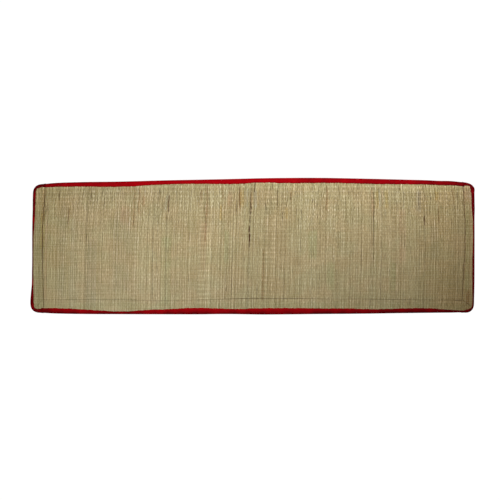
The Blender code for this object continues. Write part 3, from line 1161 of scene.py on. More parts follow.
def panel_rows():
    """Flat places of the mesh's rows: a row at each warp and between warps, and three close
    together at each sewn crease."""
    reach = HALF_WIDTH - PANEL_INSET
    rows = np.arange(-reach, reach + ROW_STEP / 2, ROW_STEP)
    rows = np.append(rows[rows < reach - ROW_STEP / 3], reach)
    for crease in (FRONT_CREASE, BACK_CREASE):
        rows = rows[np.abs(rows - crease) > CREASE_CLEARANCE]
        rows = np.concatenate([rows, crease + CREASE_ROW_STEP * np.array((-1, 0, 1))])
    return np.sort(rows)


def lean(x, y):
    """How far a reed that is at x in the mat's middle lies from there at y: between the table's
    places along the mat and across it."""
    places = list(LEAN_PLACES.values())
    total = 0.0
    for name, alone in zip(LEAN_PLACES, np.eye(len(places))):
        share = np.interp(y, places, alone)
        total = total + share * line_through(LEANS, name, x)
    return total


def end_shift(x, y):
    """The outermost reeds lean with the mat's ends: full at an end, and none at the sewn crease."""
    shift = 0.0
    for end, (start, usual) in END_LEANS.items():
        line = curve_through(SHORT_EDGES, end, y) - usual
        share = np.clip((SIGNS[end] * x - start) / END_LEAN_RUN, 0, 1)
        shift = shift - SIGNS[end] * line * share
    return shift


def row_heights(rows, x):
    """Where each row lies across the mat on each reed: straight in the middle, along the sewn
    creases near them, and squeezed to the outline outside them."""
    edges, creases = {}, {}
    for side, margin in (("front", -290 * MM), ("back", 275 * MM)):
        leaning = x + lean(x, np.full(len(x), margin)) + end_shift(x, np.full(len(x), margin))
        edges[side] = draw_in(leaning, SIGNS[side] * corner_reach(leaning, side))[1]
        creases[side] = line_through(SEWN_LINES, side, leaning)
    flat_edge = HALF_WIDTH - PANEL_INSET
    anchors = np.array((-flat_edge, FRONT_CREASE, -STRAIGHT_TO, STRAIGHT_TO, BACK_CREASE, flat_edge))
    places = np.array((
        edges["front"],
        np.maximum(creases["front"], edges["front"] + LEAST_MARGIN),
        np.full(len(x), -STRAIGHT_TO),
        np.full(len(x), STRAIGHT_TO),
        np.minimum(creases["back"], edges["back"] - LEAST_MARGIN),
        edges["back"],
    ))
    i = np.clip(np.searchsorted(anchors, rows) - 1, 0, len(anchors) - 2)
    t = ((rows - anchors[i]) / (anchors[i + 1] - anchors[i]))[:, None]
    return places[i] * (1 - t) + places[i + 1] * t


def trough(distance, half_width):
    """A round trough or ridge, 1 in its middle: e to minus the square of distance by half width."""
    return np.exp(-((distance / half_width) ** 2))


def in_band(value, low, high, soft):
    """1 between low and high and 0 outside, with a smooth step of two softs at each end."""
    return smooth_step(value, low - soft, low + soft) * smooth_step(-value, -high - soft, soft - high)


def away_from_line(x, y, line):
    """Distance to a straight crease between its two ends."""
    run = np.array((line["to_x"] - line["from_x"], line["to_y"] - line["from_y"]))
    out_x, out_y = x - line["from_x"], y - line["from_y"]
    share = np.clip((out_x * run[0] + out_y * run[1]) / (run @ run), 0, 1)
    return np.hypot(out_x - share * run[0], out_y - share * run[1])


def bed_height(x, y):
    """The padded mat's top before the single reeds' own shape, its underside, and the inset: the
    margin's profile, soft waves, the folds' V-shaped troughs and the frame of sewing."""
    inset = inset_of(*flat_place(x, y))
    top = line_through(MARGIN, "top", inset)
    under = line_through(MARGIN, "under", inset)
    wave = np.sin(x / WAVE_ALONG * 2 * np.pi + 1) * np.cos(y / WAVE_ACROSS * 2 * np.pi)
    top -= WAVE_HEIGHT * (1 + wave) / 2 * smooth_step(inset, CALM_INSET, 2 * CALM_INSET)
    for fold in rows_of(FOLDS):
        away = np.abs(x - fold_place(fold, y)) / FOLD_HALF_WIDTH
        top -= fold["depth"] * np.clip(1 - away, 0, 1) * smooth_step(inset, *FOLD_FADES)
    inside_ends = smooth_step(FRAME_REACH - np.abs(x), -6 * MM, 4 * MM)
    inside_long = smooth_step(265 * MM - np.abs(y), 0, 20 * MM)
    for side in ("front", "back"):
        away = y - line_through(SEWN_LINES, side, x)
        top -= SEWN_DEPTHS[side] * trough(away, LONG_TROUGH) * inside_ends
    for end in ("left", "right"):
        away = x - line_through(SEWN_ENDS, end, y)
        top -= SEWN_DEPTHS[end] * trough(away, END_TROUGH) * inside_long
    return top, under, inset


def nearest_row(y, place):
    """The mesh's row that is nearest to a place across the mat, on the mat's middle reed."""
    return np.argmin(np.abs(y[:, y.shape[1] // 2] - place))


def crease_dark(away, width, reach, full_width):
    """How dark the painted shade of a crease of the mesh's rows is at a distance, which falls evenly
    to 0 at its reach: its middle is the darker the wider its line, and fully dark at the full width."""
    return width / full_width * np.clip(1 - away / reach, 0, 1)


def darken(opening, columns, dark):
    """Makes the openings of these columns of the mesh at least as dark as this."""
    opening[:, columns] = np.maximum(opening[:, columns], dark)


def dark_line(away, width):
    """How dark a line of this width is at a distance: 1 inside it and 0 outside, with soft sides."""
    return np.clip((width / 2 + CRACK_SOFTNESS - away) / (2 * CRACK_SOFTNESS), 0, 1)


def add_cracks(opening, x, y, column, rng):
    """Marks dark lines in the openings, painted shade with some dirt: each crack follows the gap
    that is nearest to it in its middle, and a wide one darkens the reeds beside that gap as well.
    The frame's short lines are marked the same way, as the painted shade of their creases."""
    gaps = np.flatnonzero(column.is_gap)
    for crack in rows_of(FOLD_CRACKS) + rows_of(BACK_CRACKS) + rows_of(MIDDLE_CRACKS):
        row = nearest_row(y, (crack["back"] + crack["front"]) / 2)
        line = column.x[gaps[np.argmin(np.abs(x[row, gaps] - crack["along"]))]]
        near = np.abs(column.x - line) < 8 * MM
        beads = 1 + 0.16 * np.sin(np.pi * y[:, near] / WARP_PITCH + rng.uniform(0, 6))
        width = crack["dark"] * beads * in_band(y[:, near], crack["front"], crack["back"], 4 * MM)
        darken(opening, near, dark_line(np.abs(column.x[near] - line), width))
    for end in ("left", "right"):
        middle = np.argmin(np.abs(column.x - np.mean(SEWN_ENDS[end])))
        near = np.flatnonzero(np.abs(column.x - column.x[middle]) < 45 * MM)
        wanted, width = (
            line_through(SEWN_ENDS, name, y[:, middle])[:, None] for name in (end, end + "_dark")
        )
        at_gap = x[:, near[column.is_gap[near]]]
        line = np.take_along_axis(at_gap, np.argmin(np.abs(at_gap - wanted), axis=1)[:, None], 1)
        darken(opening, near, dark_line(np.abs(x[:, near] - line), width))


def add_creases(opening, x, y):
    """Marks the painted shade of the thin dark lines that run across the reeds: the long sewn lines
    and the creases at the frame's corners. Rows of the mesh are CREASE_ROW_STEP apart there."""
    inside = smooth_step(FRAME_REACH - np.abs(x), -2 * MM, 2 * MM)
    for side in ("front", "back"):
        away = np.abs(y - line_through(SEWN_LINES, side, x))
        width = line_through(SEWN_LINES, side + "_dark", x)
        np.maximum(opening, inside * crease_dark(away, width, *SEWN_REACH), out=opening)
    for line in rows_of(CORNER_CREASES):
        near = np.abs(x[0] - line["from_x"]) < 40 * MM
        away = away_from_line(x[:, near], y[:, near], line)
        darken(opening, near, crease_dark(away, line["dark"], *CORNER_CREASE_REACH))


def tint_bands(tint, x, y, reed_of, rng):
    """Tints the bands of discoloured reeds, some reeds of a band more than others and each ending
    where it likes."""
    reeds = reed_of.max() + 1
    for kind, columns in TINTED_REEDS.items():
        for band in rows_of(columns):
            half = band["width"] / 2
            there = x[nearest_row(y, (band["back"] + band["front"]) / 2)]
            near = np.abs(there - band["along"]) < half + 2 * MM
            strength = rng.uniform(*BAND_STRENGTHS, reeds)[reed_of[near]]
            stray = rng.normal(0, BAND_STRAY, reeds)[reed_of[near]] * min(1, band["width"] / WIDE_BAND)
            across = in_band(y[:, near] + stray, band["front"], band["back"], 3 * MM)
            along = in_band(there[near], band["along"] - half, band["along"] + half, 0.6 * MM)
            share = (across * along * strength)[..., None]
            tint[:, near, :3] *= np.array(TINTS[kind]) ** share


def tint_zones(tint, x, y):
    """Tints the mat's margins, ends and quarters, each fully inside its zone. The places along
    and across the mat are in metres."""
    past_front = line_through(SEWN_LINES, "front", x) - y
    past_back = y - line_through(SEWN_LINES, "back", x)
    past_right = x - line_through(SEWN_ENDS, "right", y)
    past_left = line_through(SEWN_ENDS, "left", y) - x
    left_end = smooth_step(past_left, -3 * MM, 4 * MM)
    right_end = smooth_step(past_right, -1 * MM, 4 * MM)
    inside_right = smooth_step(-past_right, -1 * MM, 4 * MM)
    zones = {
        "long edges": smooth_step(np.maximum(past_front, past_back), 8 * MM, 22 * MM),
        "left end": left_end,
        "left end, back": left_end * smooth_step(y, 0.08, 0.17),
        "right end, back": right_end * smooth_step(y, 0.12, 0.22),
        "beside right crease": smooth_step(x, 0.87, 0.91) * inside_right,
        "right end": right_end,
        "at back tape": smooth_step(y[-1] - y, 40 * MM, 26 * MM),
        "toward left": smooth_step(-x, 0.76, 0.93),
        "toward right": smooth_step(x, 0.62, 0.88),
        "front right": smooth_step(x, 0.70, 0.95) * smooth_step(-y, 0, 0.22),
        "front left": smooth_step(-x, -0.1, 0.1) * smooth_step(-y, 0.06, 0.2),
        "back left": smooth_step(-x, 0.7, 0.8) * smooth_step(y, 0.12, 0.2),
    }
    for kind, share in zones.items():
        tint[..., :3] *= np.array(TINTS[kind]) ** share[..., None]


def reed_columns(gaps):
    """The mesh's columns along the mat, one in each gap and two on the reed after it. For each:
    its flat place, its place on the weave in reeds, whether it is in a gap, the numbers of its
    reed, of its gap and of the next gap, and how near it is to the next gap, from 0 to 1."""
    reeds = len(gaps) - 1
    shares = np.array(SHOULDERS)
    gap = np.append(np.repeat(np.arange(reeds), len(shares)), reeds)
    return SimpleNamespace(
        x=np.append((gaps[:-1, None] + np.diff(gaps)[:, None] * shares).ravel(), gaps[-1]),
        u=np.append((np.arange(reeds)[:, None] + shares).ravel(), reeds),
        is_gap=np.append(np.tile(shares == 0, reeds), True),
        reed=np.minimum(gap, reeds - 1),
        gap=gap,
        next_gap=np.minimum(gap + 1, reeds),
        nearer=np.append(np.tile(shares, reeds), 0.0),
    )


def stray_of_gaps(rng, rows, gaps):
    """How far each gap strays along the mat at each row: ripples and bunches, none at the ends
    and less near the long edges."""
    stray = GAP_RIPPLES * ripples(rng, rows, len(gaps), (190, 430))
    stray += GAP_BUNCHES * bunched(rng, rows, len(gaps))
    stray[:, (0, -1)] = 0
    stray *= smooth_step(HALF_WIDTH - np.abs(rows), 5 * MM, 40 * MM)[:, None]
    stray *= smooth_step(980 * MM - np.abs(gaps), 0, 50 * MM)
    return stray


def open_by_chance(rng, rows, count):
    """How far each gap opens at each row, from 0 to 1: by chance, and more towards the back."""
    chance = ripples(rng, rows, count, (60, 150)) + rng.normal(0, 0.8, count)
    chance = chance + smooth_step(rows, 60 * MM, 220 * MM)[:, None]
    return smooth_step(chance, *OPENING_CHANCES)


def reed_relief(rng, rows, column, v, shed, opening):
    """Height over the bed. On a reed it is the crown, the reed's own small lift, and its rise over
    and dip under the warps, a cosine of the place on the weave that turns half round at each. In
    a gap it is the gap's depth, more where it is open, and a part of that cosine."""
    reeds = len(shed)
    lift = rng.normal(0, REED_LIFT, reeds) * MM
    lift = lift + LIFT_RIPPLES * ripples(rng, rows, reeds, (75, 170))
    bob = np.cos(np.pi * (v + shed[column.reed])) * BOB
    uneven = UNEVEN_GAPS * rng.normal(0, 1, reeds + 1)
    depth = GAP_DEPTH + OPEN_GAP_DEPTH * opening + uneven[column.gap]
    return np.where(column.is_gap, -depth + GAP_BOB * bob, lift[:, column.reed] + CROWN + bob)


def section_faces(rows, columns, under_rows):
    """Faces of a closed section, whose top has its points first and whose underside has some of
    the top's rows: both grids, the front and the back rim, and the two ends, a face from each
    row of the underside to the next."""
    top = np.arange(rows * columns).reshape(rows, columns)
    under = top.size + np.arange(len(under_rows) * columns).reshape(-1, columns)
    faces = [
        grid_faces(rows, columns),
        grid_faces(len(under_rows), columns, top.size)[:, ::-1],
        strip_faces(under[0], top[0]),
        strip_faces(under[-1], top[-1])[:, ::-1],
    ]
    for k, (start, end) in enumerate(zip(under_rows[:-1], under_rows[1:])):
        rise = top[start:end + 1]
        faces.append(np.array([under[k + 1, 0], under[k, 0], *rise[:, 0]]))
        faces.append(np.array([under[k, -1], under[k + 1, -1], *rise[::-1, -1]]))
    return faces


def make_section(name, part, panel, material):
    """One length of the panel as a closed mesh, from its part of the panel's columns."""
    rows, columns = panel.x[:, part].shape
    under_rows = np.unique(np.round(np.linspace(0, rows - 1, UNDER_ROWS)).astype(int))
    upper = np.stack([panel.x, panel.y, panel.top], -1)[:, part]
    lower = np.stack([panel.x, panel.y, panel.under], -1)[under_rows, part]
    weave, tint, opening = panel.weave[:, part], panel.tint[:, part], panel.opening[:, part]
    of_reed = panel.shed[part][:-1]
    ends = np.zeros(2 * (len(under_rows) - 1))
    sheds = [np.tile(of_reed, rows - 1), np.tile(of_reed, len(under_rows) - 1), of_reed, of_reed, ends]
    piece = make_piece(
        name,
        np.concatenate([upper, lower]).reshape(-1, 3),
        section_faces(rows, columns, under_rows),
        material,
        weave=np.concatenate([weave, weave[under_rows]]).reshape(-1, 2),
        of_faces={"shed": np.concatenate(sheds)},
        opening=np.append(opening.ravel(), np.zeros(len(under_rows) * columns)),
        tint=np.concatenate([tint, tint[under_rows]]).reshape(-1, 4),
    )
    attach(piece, "root")
    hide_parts("reed_panel")


def make_panel(material):
    """The reed panel in four lengths. Its height is the bed's, plus each reed's own: a crown
    between two gaps, a small lift, and a rise over and a dip under every second warp."""
    rng = np.random.default_rng(7)
    gaps, firsts = reed_gaps(rng)
    rows, column = panel_rows(), reed_columns(gaps)
    shed = np.cumsum(rng.random(len(gaps) - 1) < 1 / SHED_RUN) % 2
    y = row_heights(rows, column.x)
    stray = stray_of_gaps(rng, rows, gaps)
    drift = stray[:, column.gap] * (1 - column.nearer) + stray[:, column.next_gap] * column.nearer
    x = column.x + end_shift(column.x + 0 * y, y) + lean(column.x, y) + drift
    v = y / WARP_PITCH + WARP_PHASE + WARP_WANDER * ribbon_noise(rng, x, (310, 520, 830))
    top, under, inset = bed_height(x, y)

    calm = smooth_step(inset, 4 * MM, 30 * MM)
    opening = open_by_chance(rng, rows, len(gaps))[:, column.gap] * calm * column.is_gap
    cracks = np.zeros_like(opening)
    add_cracks(cracks, x, y, column, rng)
    top -= CRACK_DEPTH * cracks * calm
    add_creases(cracks, x, y)
    tint = np.ones((*x.shape, 4))
    tint_bands(tint, x, y, column.reed, rng)
    tint_zones(tint, x, y)
    top += reed_relief(rng, rows, column, v, shed, opening) * (0.25 + 0.75 * calm)

    panel = SimpleNamespace(
        x=x,
        y=y,
        top=top,
        under=under + np.where(column.is_gap, UNDER_GAP_DEPTH, 0.0),
        weave=np.stack([np.broadcast_to(column.u, x.shape), v], -1),
        shed=shed[column.reed],
        opening=np.maximum(opening, cracks),
        tint=tint,
    )
    for name, first, last in zip(SECTION_NAMES, firsts[:-1], firsts[1:]):
        part = slice(len(SHOULDERS) * first, len(SHOULDERS) * last + 1)
        make_section(name, part, panel, material)


# The tape

# What the sewing does to a tape's top: how deep its edge lies down and between which distances
# from the edge that fades, how deep the line of stitches is pulled in and how far to each side
EDGE_DEPTH = 0.5 * MM
EDGE_FADES = (0.5 * MM, 5 * MM)
STITCH_DEPTH = 0.25 * MM
STITCH_REACH = 1.4 * MM
# Its puckers: their height, the lengths of their waves in millimetres, and how far from the edge
# the wide ones are full and the fine ones end
WIDE_PUCKER = 0.12 * MM
WIDE_WAVES = (11, 17, 29)
WIDE_FROM = 8 * MM
FINE_PUCKER = 0.1 * MM
FINE_WAVES = (7, 9.5)
FINE_REACH = 3 * MM

# How uneven the edge of a tape on the reed is: on a long side, and on an end's
LONG_UNEVEN = 0.45 * MM
END_UNEVEN = 0.3 * MM
FULLY_UNEVEN = 10 * MM  # a narrower tape than this is less uneven

# Where an end's tape is lapped over a long one's: between which distances from each one's end that
# fades, how much the long one is pressed and the end's one is lifted, and how far that one reaches
# out
LONG_LAP_FADES = (13 * MM, 9 * MM)
END_LAP_FADES = (5 * MM, 13 * MM)
LAP_PRESS = 0.82 * MM
LAP_LIFT = 0.9 * MM
LAP_OUT = 0.8 * MM
LAP_SHADOW_REACH = 4 * MM

# How dark a tape is along its edge on the reed and how far that reaches, the lengths in
# millimetres of the patches of its soil and painted shade, and the most of these
EDGE_DARK = 0.35
EDGE_DARK_REACH = 2.2 * MM
SOIL_AND_SHADE_PATCHES = (60, 140, 310)
MOST_SOIL_AND_SHADE = 1.2
# What is added towards both ends of the long sides, at the front of the right end as painted
# shade, and in one patch of the left end, and between which places
LONG_ENDS_SOIL = 0.2
LONG_ENDS_FADES = (0.55, 0.95)
RIGHT_FRONT_SHADE = 0.25
RIGHT_FRONT_FADES = (-0.1, 0.24)
LEFT_PATCH_SOIL = 0.5
LEFT_PATCH = (-160 * MM, 20 * MM, 30 * MM)


def tape_path(flap):
    """The tape's outer line across the edge, for one flap width at each station: flat under the
    mat, half round the rim, and up the slope of the reed to its edge. Gives insets, heights, and
    the place along the line, 0 at the rim's outermost point."""
    quarter = RIM_RADIUS * np.pi / 2
    under = quarter + TAPE_UNDER - RIM_RADIUS
    beyond = flap - RIM_RADIUS
    on_arc = RIM_RADIUS * np.arccos(np.clip(1 - flap / RIM_RADIUS, -1, 1))
    reach = np.where(beyond > 0, quarter + beyond, on_arc)
    share = np.linspace(0, 1, SECTION_POINTS)
    share = share + 0.035 * np.sin(2 * np.pi * share)  # closer together round the rim
    s = -under + (under + reach[:, None]) * share
    angle = np.clip(s / RIM_RADIUS, -np.pi / 2, np.pi / 2)
    inset = RIM_RADIUS * (1 - np.cos(angle)) + np.clip(np.abs(s) - quarter, 0, None)
    height = RIM_RADIUS * (1 + np.sin(angle))
    slope = line_through(MARGIN, "top", inset) - line_through(MARGIN, "top", RIM_RADIUS)
    height = height + np.where(s > quarter, slope, 0)
    return inset, height, s


def close_shell(outer):
    """Points and faces of a cloth, and its normals: the outer grid, the same grid CLOTH further
    in, and the rims between them. A normal is the cross product of the grid's two directions,
    made one long."""
    down = np.gradient(outer, axis=0)
    over = np.gradient(outer, axis=1)
    normal = np.cross(down, over)
    normal /= np.linalg.norm(normal, axis=-1, keepdims=True)
    rows, columns = outer.shape[:2]
    turned = normal[rows // 2, -3, 2] < 0
    if turned:
        normal = -normal
    inner = outer - CLOTH * normal
    points = np.concatenate([outer.reshape(-1, 3), inner.reshape(-1, 3)])
    first = np.arange(rows * columns).reshape(rows, columns)
    second = first + rows * columns
    faces = [
        grid_faces(rows, columns),
        grid_faces(rows, columns, rows * columns)[:, ::-1],
        strip_faces(second[0], first[0]),
        strip_faces(first[-1], second[-1]),
        strip_faces(first[:, 0], second[:, 0]),
        strip_faces(second[:, -1], first[:, -1]),
    ]
    if turned:
        faces = [block[:, ::-1] for block in faces]
    return points, faces, normal


def stitch_line(outer, normal, s):
    """Where a tape's stitches go, STITCH_INSET from its edge on the reed: at each station, the
    place between two points of the outer grid, and the cloth's normal there."""
    wanted = s[:, -1] - STITCH_INSET
    place = (wanted - s[:, 0]) / (s[:, -1] - s[:, 0])
    shares = (s[0] - s[0, 0]) / (s[0, -1] - s[0, 0])
    column = np.interp(place, shares, np.arange(len(shares)))
    before = np.floor(column).astype(int)
    part = (column - before)[:, None]
    station = np.arange(len(s))
    line = outer[station, before] * (1 - part) + outer[station, before + 1] * part
    return line, normal[station, before]


def make_tape(side, along, across, height, s, length, soil, materials):
    """A tape from the flat places and heights of its outer grid, and the stitches near its edge
    on the reed."""
    x, y = lay_out(along, across)
    outer = np.stack([x, y, np.maximum(height, 0)], -1)
    points, faces, normal = close_shell(outer)
    weave = np.stack([np.broadcast_to(length[:, None], s.shape), s], -1).reshape(-1, 2)
    piece = make_piece(
        "tape_" + side,
        points,
        faces,
        materials["tape"],
        weave=np.concatenate([weave, weave]),
        soil=np.concatenate([soil.ravel(), soil.ravel()]),
    )
    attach(piece, "root")
    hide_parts("binding_" + side)

    seam = sew_along("stitches_" + side, *stitch_line(outer, normal, s), materials["tape thread"])


def tape_rise(rng, inset, flap, s, station):
    """What the sewing does to the tape's top: its edge lies down on the reed, the line of
    stitches is pulled in, and the cloth between stitches puffs up a little."""
    from_edge = flap[:, None] - inset
    top = s > RIM_RADIUS
    down = -EDGE_DEPTH * (1 - smooth_step(from_edge, *EDGE_FADES))
    pull = -STITCH_DEPTH * trough(from_edge - STITCH_INSET, STITCH_REACH)
    wide = WIDE_PUCKER * ribbon_noise(rng, station, WIDE_WAVES)[:, None]
    fine = FINE_PUCKER * trough(from_edge, FINE_REACH)
    fine = fine * ribbon_noise(rng, station, FINE_WAVES)[:, None]
    pucker = wide * smooth_step(from_edge, 0, WIDE_FROM) + fine
    return np.where(top, down + pull + pucker, 0)


def tape_soil(rng, s, flap, station, amount, rim_width=6 * MM, rim_amount=0.35, patchy=0.25):
    """How dark the tape is, unevenly: the given amount, painted shade at its outer rim, which turns
    away from the light, and darker along its edge on the reed.
    """
    rim = trough(s - 1 * MM, rim_width)
    reach = np.maximum(flap - RIM_RADIUS, 0) + RIM_RADIUS * np.pi / 2
    edge = trough(reach[:, None] - s, EDGE_DARK_REACH)
    uneven = 1 + patchy * ribbon_noise(rng, station, SOIL_AND_SHADE_PATCHES)[:, None]
    soil = amount[:, None] + rim_amount * rim + EDGE_DARK * edge
    return np.clip(soil * uneven, 0, MOST_SOIL_AND_SHADE)


def make_long_tape(side, materials, rng):
    """A long edge's tape, with its two ends pressed flat where the end tapes are lapped over."""
    reach = HALF_LENGTH - CORNER_SQUARE + LAP / 2
    station = np.linspace(-reach, reach, round(2 * reach / STATION_STEP))
    flap = curve_through(LONG_FLAPS, side, station)
    flap = flap + LONG_UNEVEN * ribbon_noise(rng, station, FLAP_WAVES)
    inset, height, s = tape_path(flap)
    height = height + tape_rise(rng, inset, flap, s, station)
    fade_from, fade_to = (reach - inner for inner in LONG_LAP_FADES)
    lapped = smooth_step(np.abs(station), fade_from, fade_to)[:, None]
    height = height + LAP_PRESS * lapped * smooth_step(-s, 2 * MM, 6 * MM)
    looks = LONG_SOIL_AND_SHADE[side]
    amount = looks["middle"] + LONG_ENDS_SOIL * smooth_step(np.abs(station), *LONG_ENDS_FADES)
    amount = amount + looks["right"] * smooth_step(station, *looks["right_from_to"])
    soil = tape_soil(rng, s, flap, station, amount, **looks["rim"])
    along = np.broadcast_to(station[:, None], inset.shape)
    across = SIGNS[side] * (HALF_WIDTH - inset)
    make_tape(side, along, across, height, s, station, soil, materials)


def end_stations():
    """The stations of an end's tape, from its lap on the front tape, round the front corner, along
    the end and round the back corner to its lap on the back tape. Each is a start inside the mat,
    counted from the corner squares' inner points along the mat, and a ray from there to the rim."""
    inner_across = HALF_WIDTH - CORNER_SQUARE
    turns = np.linspace(0, 2, 34)
    straight = np.linspace(-inner_across, inner_across, round(2 * inner_across / STATION_STEP))[1:-1]
    lap = np.linspace(-LAP, 0, 4)[:-1]
    no_run = np.zeros(len(lap))
    run = np.concatenate([no_run, np.clip(turns, 0, 1)])
    rise = np.concatenate([no_run + 1, np.clip(2 - turns, 0, 1)])
    at_corner = np.concatenate([lap, 0 * turns])
    corner_across = np.full(len(at_corner), inner_across)
    return SimpleNamespace(
        turns=turns,
        straight=straight,
        laps=len(lap),
        ray_along=np.concatenate([run, np.ones(len(straight)), run[::-1]]),
        ray_across=np.concatenate([-rise, 0 * straight, rise[::-1]]),
        start_along=np.concatenate([at_corner, 0 * straight, at_corner[::-1]]),
        start_across=np.concatenate([-corner_across, straight, corner_across]),
    )


def end_flaps(end, stations):
    """The flap's width at each station: round a corner it goes smoothly from the long tape's width
    to the end's, and the corner's own table is added."""
    corner = np.array(SIGNS[end] * (HALF_LENGTH - CORNER_SQUARE))
    share = smooth_step(stations.turns, 0, 2)
    widths = {}
    for side in ("front", "back"):
        across = np.array(SIGNS[side] * (HALF_WIDTH - CORNER_SQUARE))
        extra = line_through(CORNER_FLAPS, end + "_" + side, stations.turns)
        on_long = curve_through(LONG_FLAPS, side, corner)
        on_end = curve_through(SHORT_FLAPS, end, across)
        turned = on_long + (on_end - on_long) * share + extra
        widths[side] = np.concatenate([np.full(stations.laps, on_long), turned])
    middle = curve_through(SHORT_FLAPS, end, stations.straight)
    return np.concatenate([widths["front"], middle, widths["back"][::-1]])


def make_end_tape(end, materials, rng):
    """An end's tape: along the end, round both corners on rays from their squares' inner points,
    and lapped over the long tapes' ends."""
    inner_along = HALF_LENGTH - CORNER_SQUARE
    stations = end_stations()
    start_along, start_across = stations.start_along, stations.start_across
    rim_x = inner_along + start_along + stations.ray_along * CORNER_SQUARE
    rim_y = start_across + stations.ray_across * CORNER_SQUARE
    length = np.concatenate([[0], np.cumsum(np.hypot(np.diff(rim_x), np.diff(rim_y)))])
    flap = end_flaps(end, stations)
    uneven = np.clip(flap / FULLY_UNEVEN, 0.2, 1) * ribbon_noise(rng, length, FLAP_WAVES)
    flap = flap + END_UNEVEN * uneven
    inset, height, s = tape_path(flap)
    from_end = {"front": length, "back": length[-1] - length}
    over = 1 - smooth_step(np.minimum(*from_end.values()), *END_LAP_FADES)
    lifted = over[:, None] * smooth_step(s, -2 * MM, 6 * MM)
    height = height + tape_rise(rng, inset, flap, s, length) + LAP_LIFT * lifted
    out = CORNER_SQUARE - inset + LAP_OUT * over[:, None] * trough(s, 6 * MM)
    along = SIGNS[end] * (inner_along + start_along[:, None] + stations.ray_along[:, None] * out)
    across = start_across[:, None] + stations.ray_across[:, None] * out
    amount = END_SHADE[end] + sum(
        LAP_SHADOWS[(end, side)] * trough(away, LAP_SHADOW_REACH)
        for side, away in from_end.items()
    )
    if end == "right":
        amount = amount + RIGHT_FRONT_SHADE * smooth_step(-start_across, *RIGHT_FRONT_FADES)
    else:
        amount = amount + LEFT_PATCH_SOIL * in_band(start_across, *LEFT_PATCH)
    soil = tape_soil(rng, s, flap, length, amount)
    make_tape(end, along, across, height, s, length, soil, materials)


# A stitch: where its thread comes out of the cloth and goes in again, as shares of its length,
# and in its own radius, how far its points are sunk, how high it lies, and how thick it is
OUT_AND_IN = (0.16, 0.84)
SUNK = 0.6
LIFTED = 0.75
THICK = 0.8


def stitches(name, starts, ends, ups, radius, material):
    """Short stitches in one mesh. Each is a rod of four sides, with a pointed end sunk into the
    cloth at each of its two holes: a point, a square ring, a square ring, a point."""
    span = ends - starts
    size = np.linalg.norm(span, axis=1, keepdims=True)
    run = span / size
    side = np.cross(ups, run)
    side /= np.linalg.norm(side, axis=1, keepdims=True)
    top = np.cross(run, side)
    sunk = SUNK * radius * top
    rings = [starts - sunk]
    for share in OUT_AND_IN:
        centre = starts + span * share + LIFTED * radius * top
        rings.extend(
            centre + radius * (np.cos(turn) * side + THICK * np.sin(turn) * top)
            for turn in np.arange(4) * np.pi / 2
        )
    rings.append(ends - sunk)
    points = np.stack(rings, axis=1).reshape(-1, 3)
    first, second = np.arange(1, 5), np.arange(5, 9)
    next_first, next_second = np.roll(first, -1), np.roll(second, -1)
    start_point, end_point = 0 * first, 0 * first + len(rings) - 1
    sides = np.stack([first, next_first, next_second, second], -1)
    start_caps = np.stack([start_point, next_first, first], -1)
    caps = np.concatenate([start_caps, np.stack([end_point, second, next_second], -1)])
    base = (np.arange(len(starts)) * len(rings))[:, None, None]
    faces = [(sides[None] + base).reshape(-1, 4), (caps[None] + base).reshape(-1, 3)]
    piece = make_piece(name, points, faces, material, sharp=80)
    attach(piece, "root")
    return piece


def sew_along(name, line, ups, material):
    """Running stitches along a line of points, each a stitch long and a pitch from the next,
    with their tops to the line's ups."""
    run = np.concatenate([[0], np.cumsum(np.linalg.norm(np.diff(line, axis=0), axis=1))])
    first = np.arange(0.5 * STITCH_PITCH, run[-1] - STITCH_LENGTH, STITCH_PITCH)
    starts, ends, up = (
        np.stack([np.interp(at, run, values[:, k]) for k in range(3)], -1)
        for at, values in ((first, line), (first + STITCH_LENGTH, line), (first, ups))
    )
    return stitches(name, starts, ends, up, THREAD_RADIUS, material)


def lay_stitches(name, x, y, material):
    """One run of the frame of sewing, on the bed's surface under these places."""
    top = bed_height(x, y)[0] + CROWN + 0.5 * BOB
    line = np.stack([x, y, top], -1)
    piece = sew_along(name, line, np.tile((0.0, 0.0, 1.0), (len(x), 1)), material)


def sew_frame(material):
    """The frame of sewing inside the mat's edges, in four runs."""
    step = 2 * MM
    for side, across in (("front", FRAME_FRONT), ("back", FRAME_BACK)):
        left, right = (line_through(SEWN_ENDS, end, across) for end in ("left", "right"))
        x = np.arange(left, right, step)
        y = line_through(SEWN_LINES, side, x)
        lay_stitches("frame_stitches_" + side, x, y, material)
    for end in ("left", "right"):
        y = np.arange(FRAME_FRONT, FRAME_BACK, step)
        x = line_through(SEWN_ENDS, end, y)
        lay_stitches("frame_stitches_" + end, x, y, material)


def make_mat():
    """All the mat's pieces."""
    fibre_tone, blotches, cloth = fibre_tone_group(), blotch_group(), cloth_group()
    materials = {
        "reed": reed_material(fibre_tone, blotches),
        "tape": tape_material(cloth, blotches),
        "tape thread": thread_material("tape thread", TAPE_THREAD, blotches),
        "reed thread": thread_material("reed thread", REED_THREAD, blotches),
    }
    make_panel(materials["reed"])
    sew_frame(materials["reed thread"])
    rng = np.random.default_rng(11)
    for side in ("back", "front"):
        make_long_tape(side, materials, rng)
    for end in ("left", "right"):
        make_end_tape(end, materials, rng)


# The camera, the floor and the light

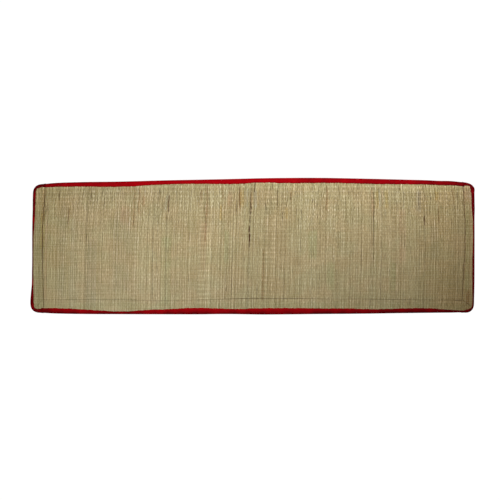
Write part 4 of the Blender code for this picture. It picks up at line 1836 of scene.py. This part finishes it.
SENSOR = 36
LENS = 64.3
EYE = (-0.0121, -0.0172, 4.005)
FLOOR_REACH = 6
FLOOR_DROP = 0.6 * MM
FLOOR_GREY = (0.93, 0.93, 0.93, 1)
BOX_SIZE = 0.8
BOX_COLOUR = (1.0, 0.99, 0.97)


def make_camera():
    """A camera that looks straight down on the mat."""
    camera = bpy.data.cameras.new("camera")
    camera.sensor_width = SENSOR
    camera.lens = LENS
    eye = put_in_scene("camera", camera)
    eye.location = EYE
    bpy.context.scene.camera = eye


def floor_material():
    """Plain white to the camera and pale grey to the light that falls on it."""
    material, tree, shader = new_material("pale floor")
    seen = node(tree, "LightPath").outputs["Is Camera Ray"]
    pale = mixed(tree, "MIX", seen, FLOOR_GREY, (0, 0, 0, 1))
    finish = {
        "Base Color": pale,
        "Roughness": 1.0,
        "Specular IOR Level": 0.0,
        "Emission Color": (1, 1, 1, 1),
        "Emission Strength": maths(tree, "MULTIPLY", seen, WHITE_GLOW),
    }
    join(tree, shader, finish)
    return material


def make_floor():
    """A floor just under the mat."""
    mesh = bpy.data.meshes.new("floor")
    square = np.array(((-1, -1), (1, -1), (1, 1), (-1, 1))) * FLOOR_REACH
    corners = [(x, y, -FLOOR_DROP) for x, y in square]
    mesh.from_pydata(corners, [], [(0, 1, 2, 3)])
    mesh.materials.append(floor_material())
    put_in_scene("floor", mesh)


def make_lights():
    """Two soft boxes, behind the mat and to its left, and a dim white sky, bright to the camera."""
    for name, (power, place) in SOFT_BOXES.items():
        lamp = bpy.data.lights.new(name, "AREA")
        lamp.shape = "SQUARE"
        lamp.size = BOX_SIZE
        lamp.energy = power
        lamp.color = BOX_COLOUR
        box = put_in_scene(name, lamp)
        box.location = place
        box.visible_camera = False
    world = bpy.data.worlds.new("studio")
    world.use_nodes = True
    tree = world.node_tree
    seen = node(tree, "LightPath").outputs["Is Camera Ray"]
    light = {"Color": (1, 1, 1, 1), "Strength": between(tree, seen, 0, 1, SKY_LIGHT, WHITE_GLOW)}
    join(tree, tree.nodes["Background"].inputs, light)
    bpy.context.scene.world = world


make_camera()
make_floor()
make_lights()
bpy.context.scene.view_settings.view_transform = "Standard"
bpy.context.scene.view_settings.look = "None"
make_mat()
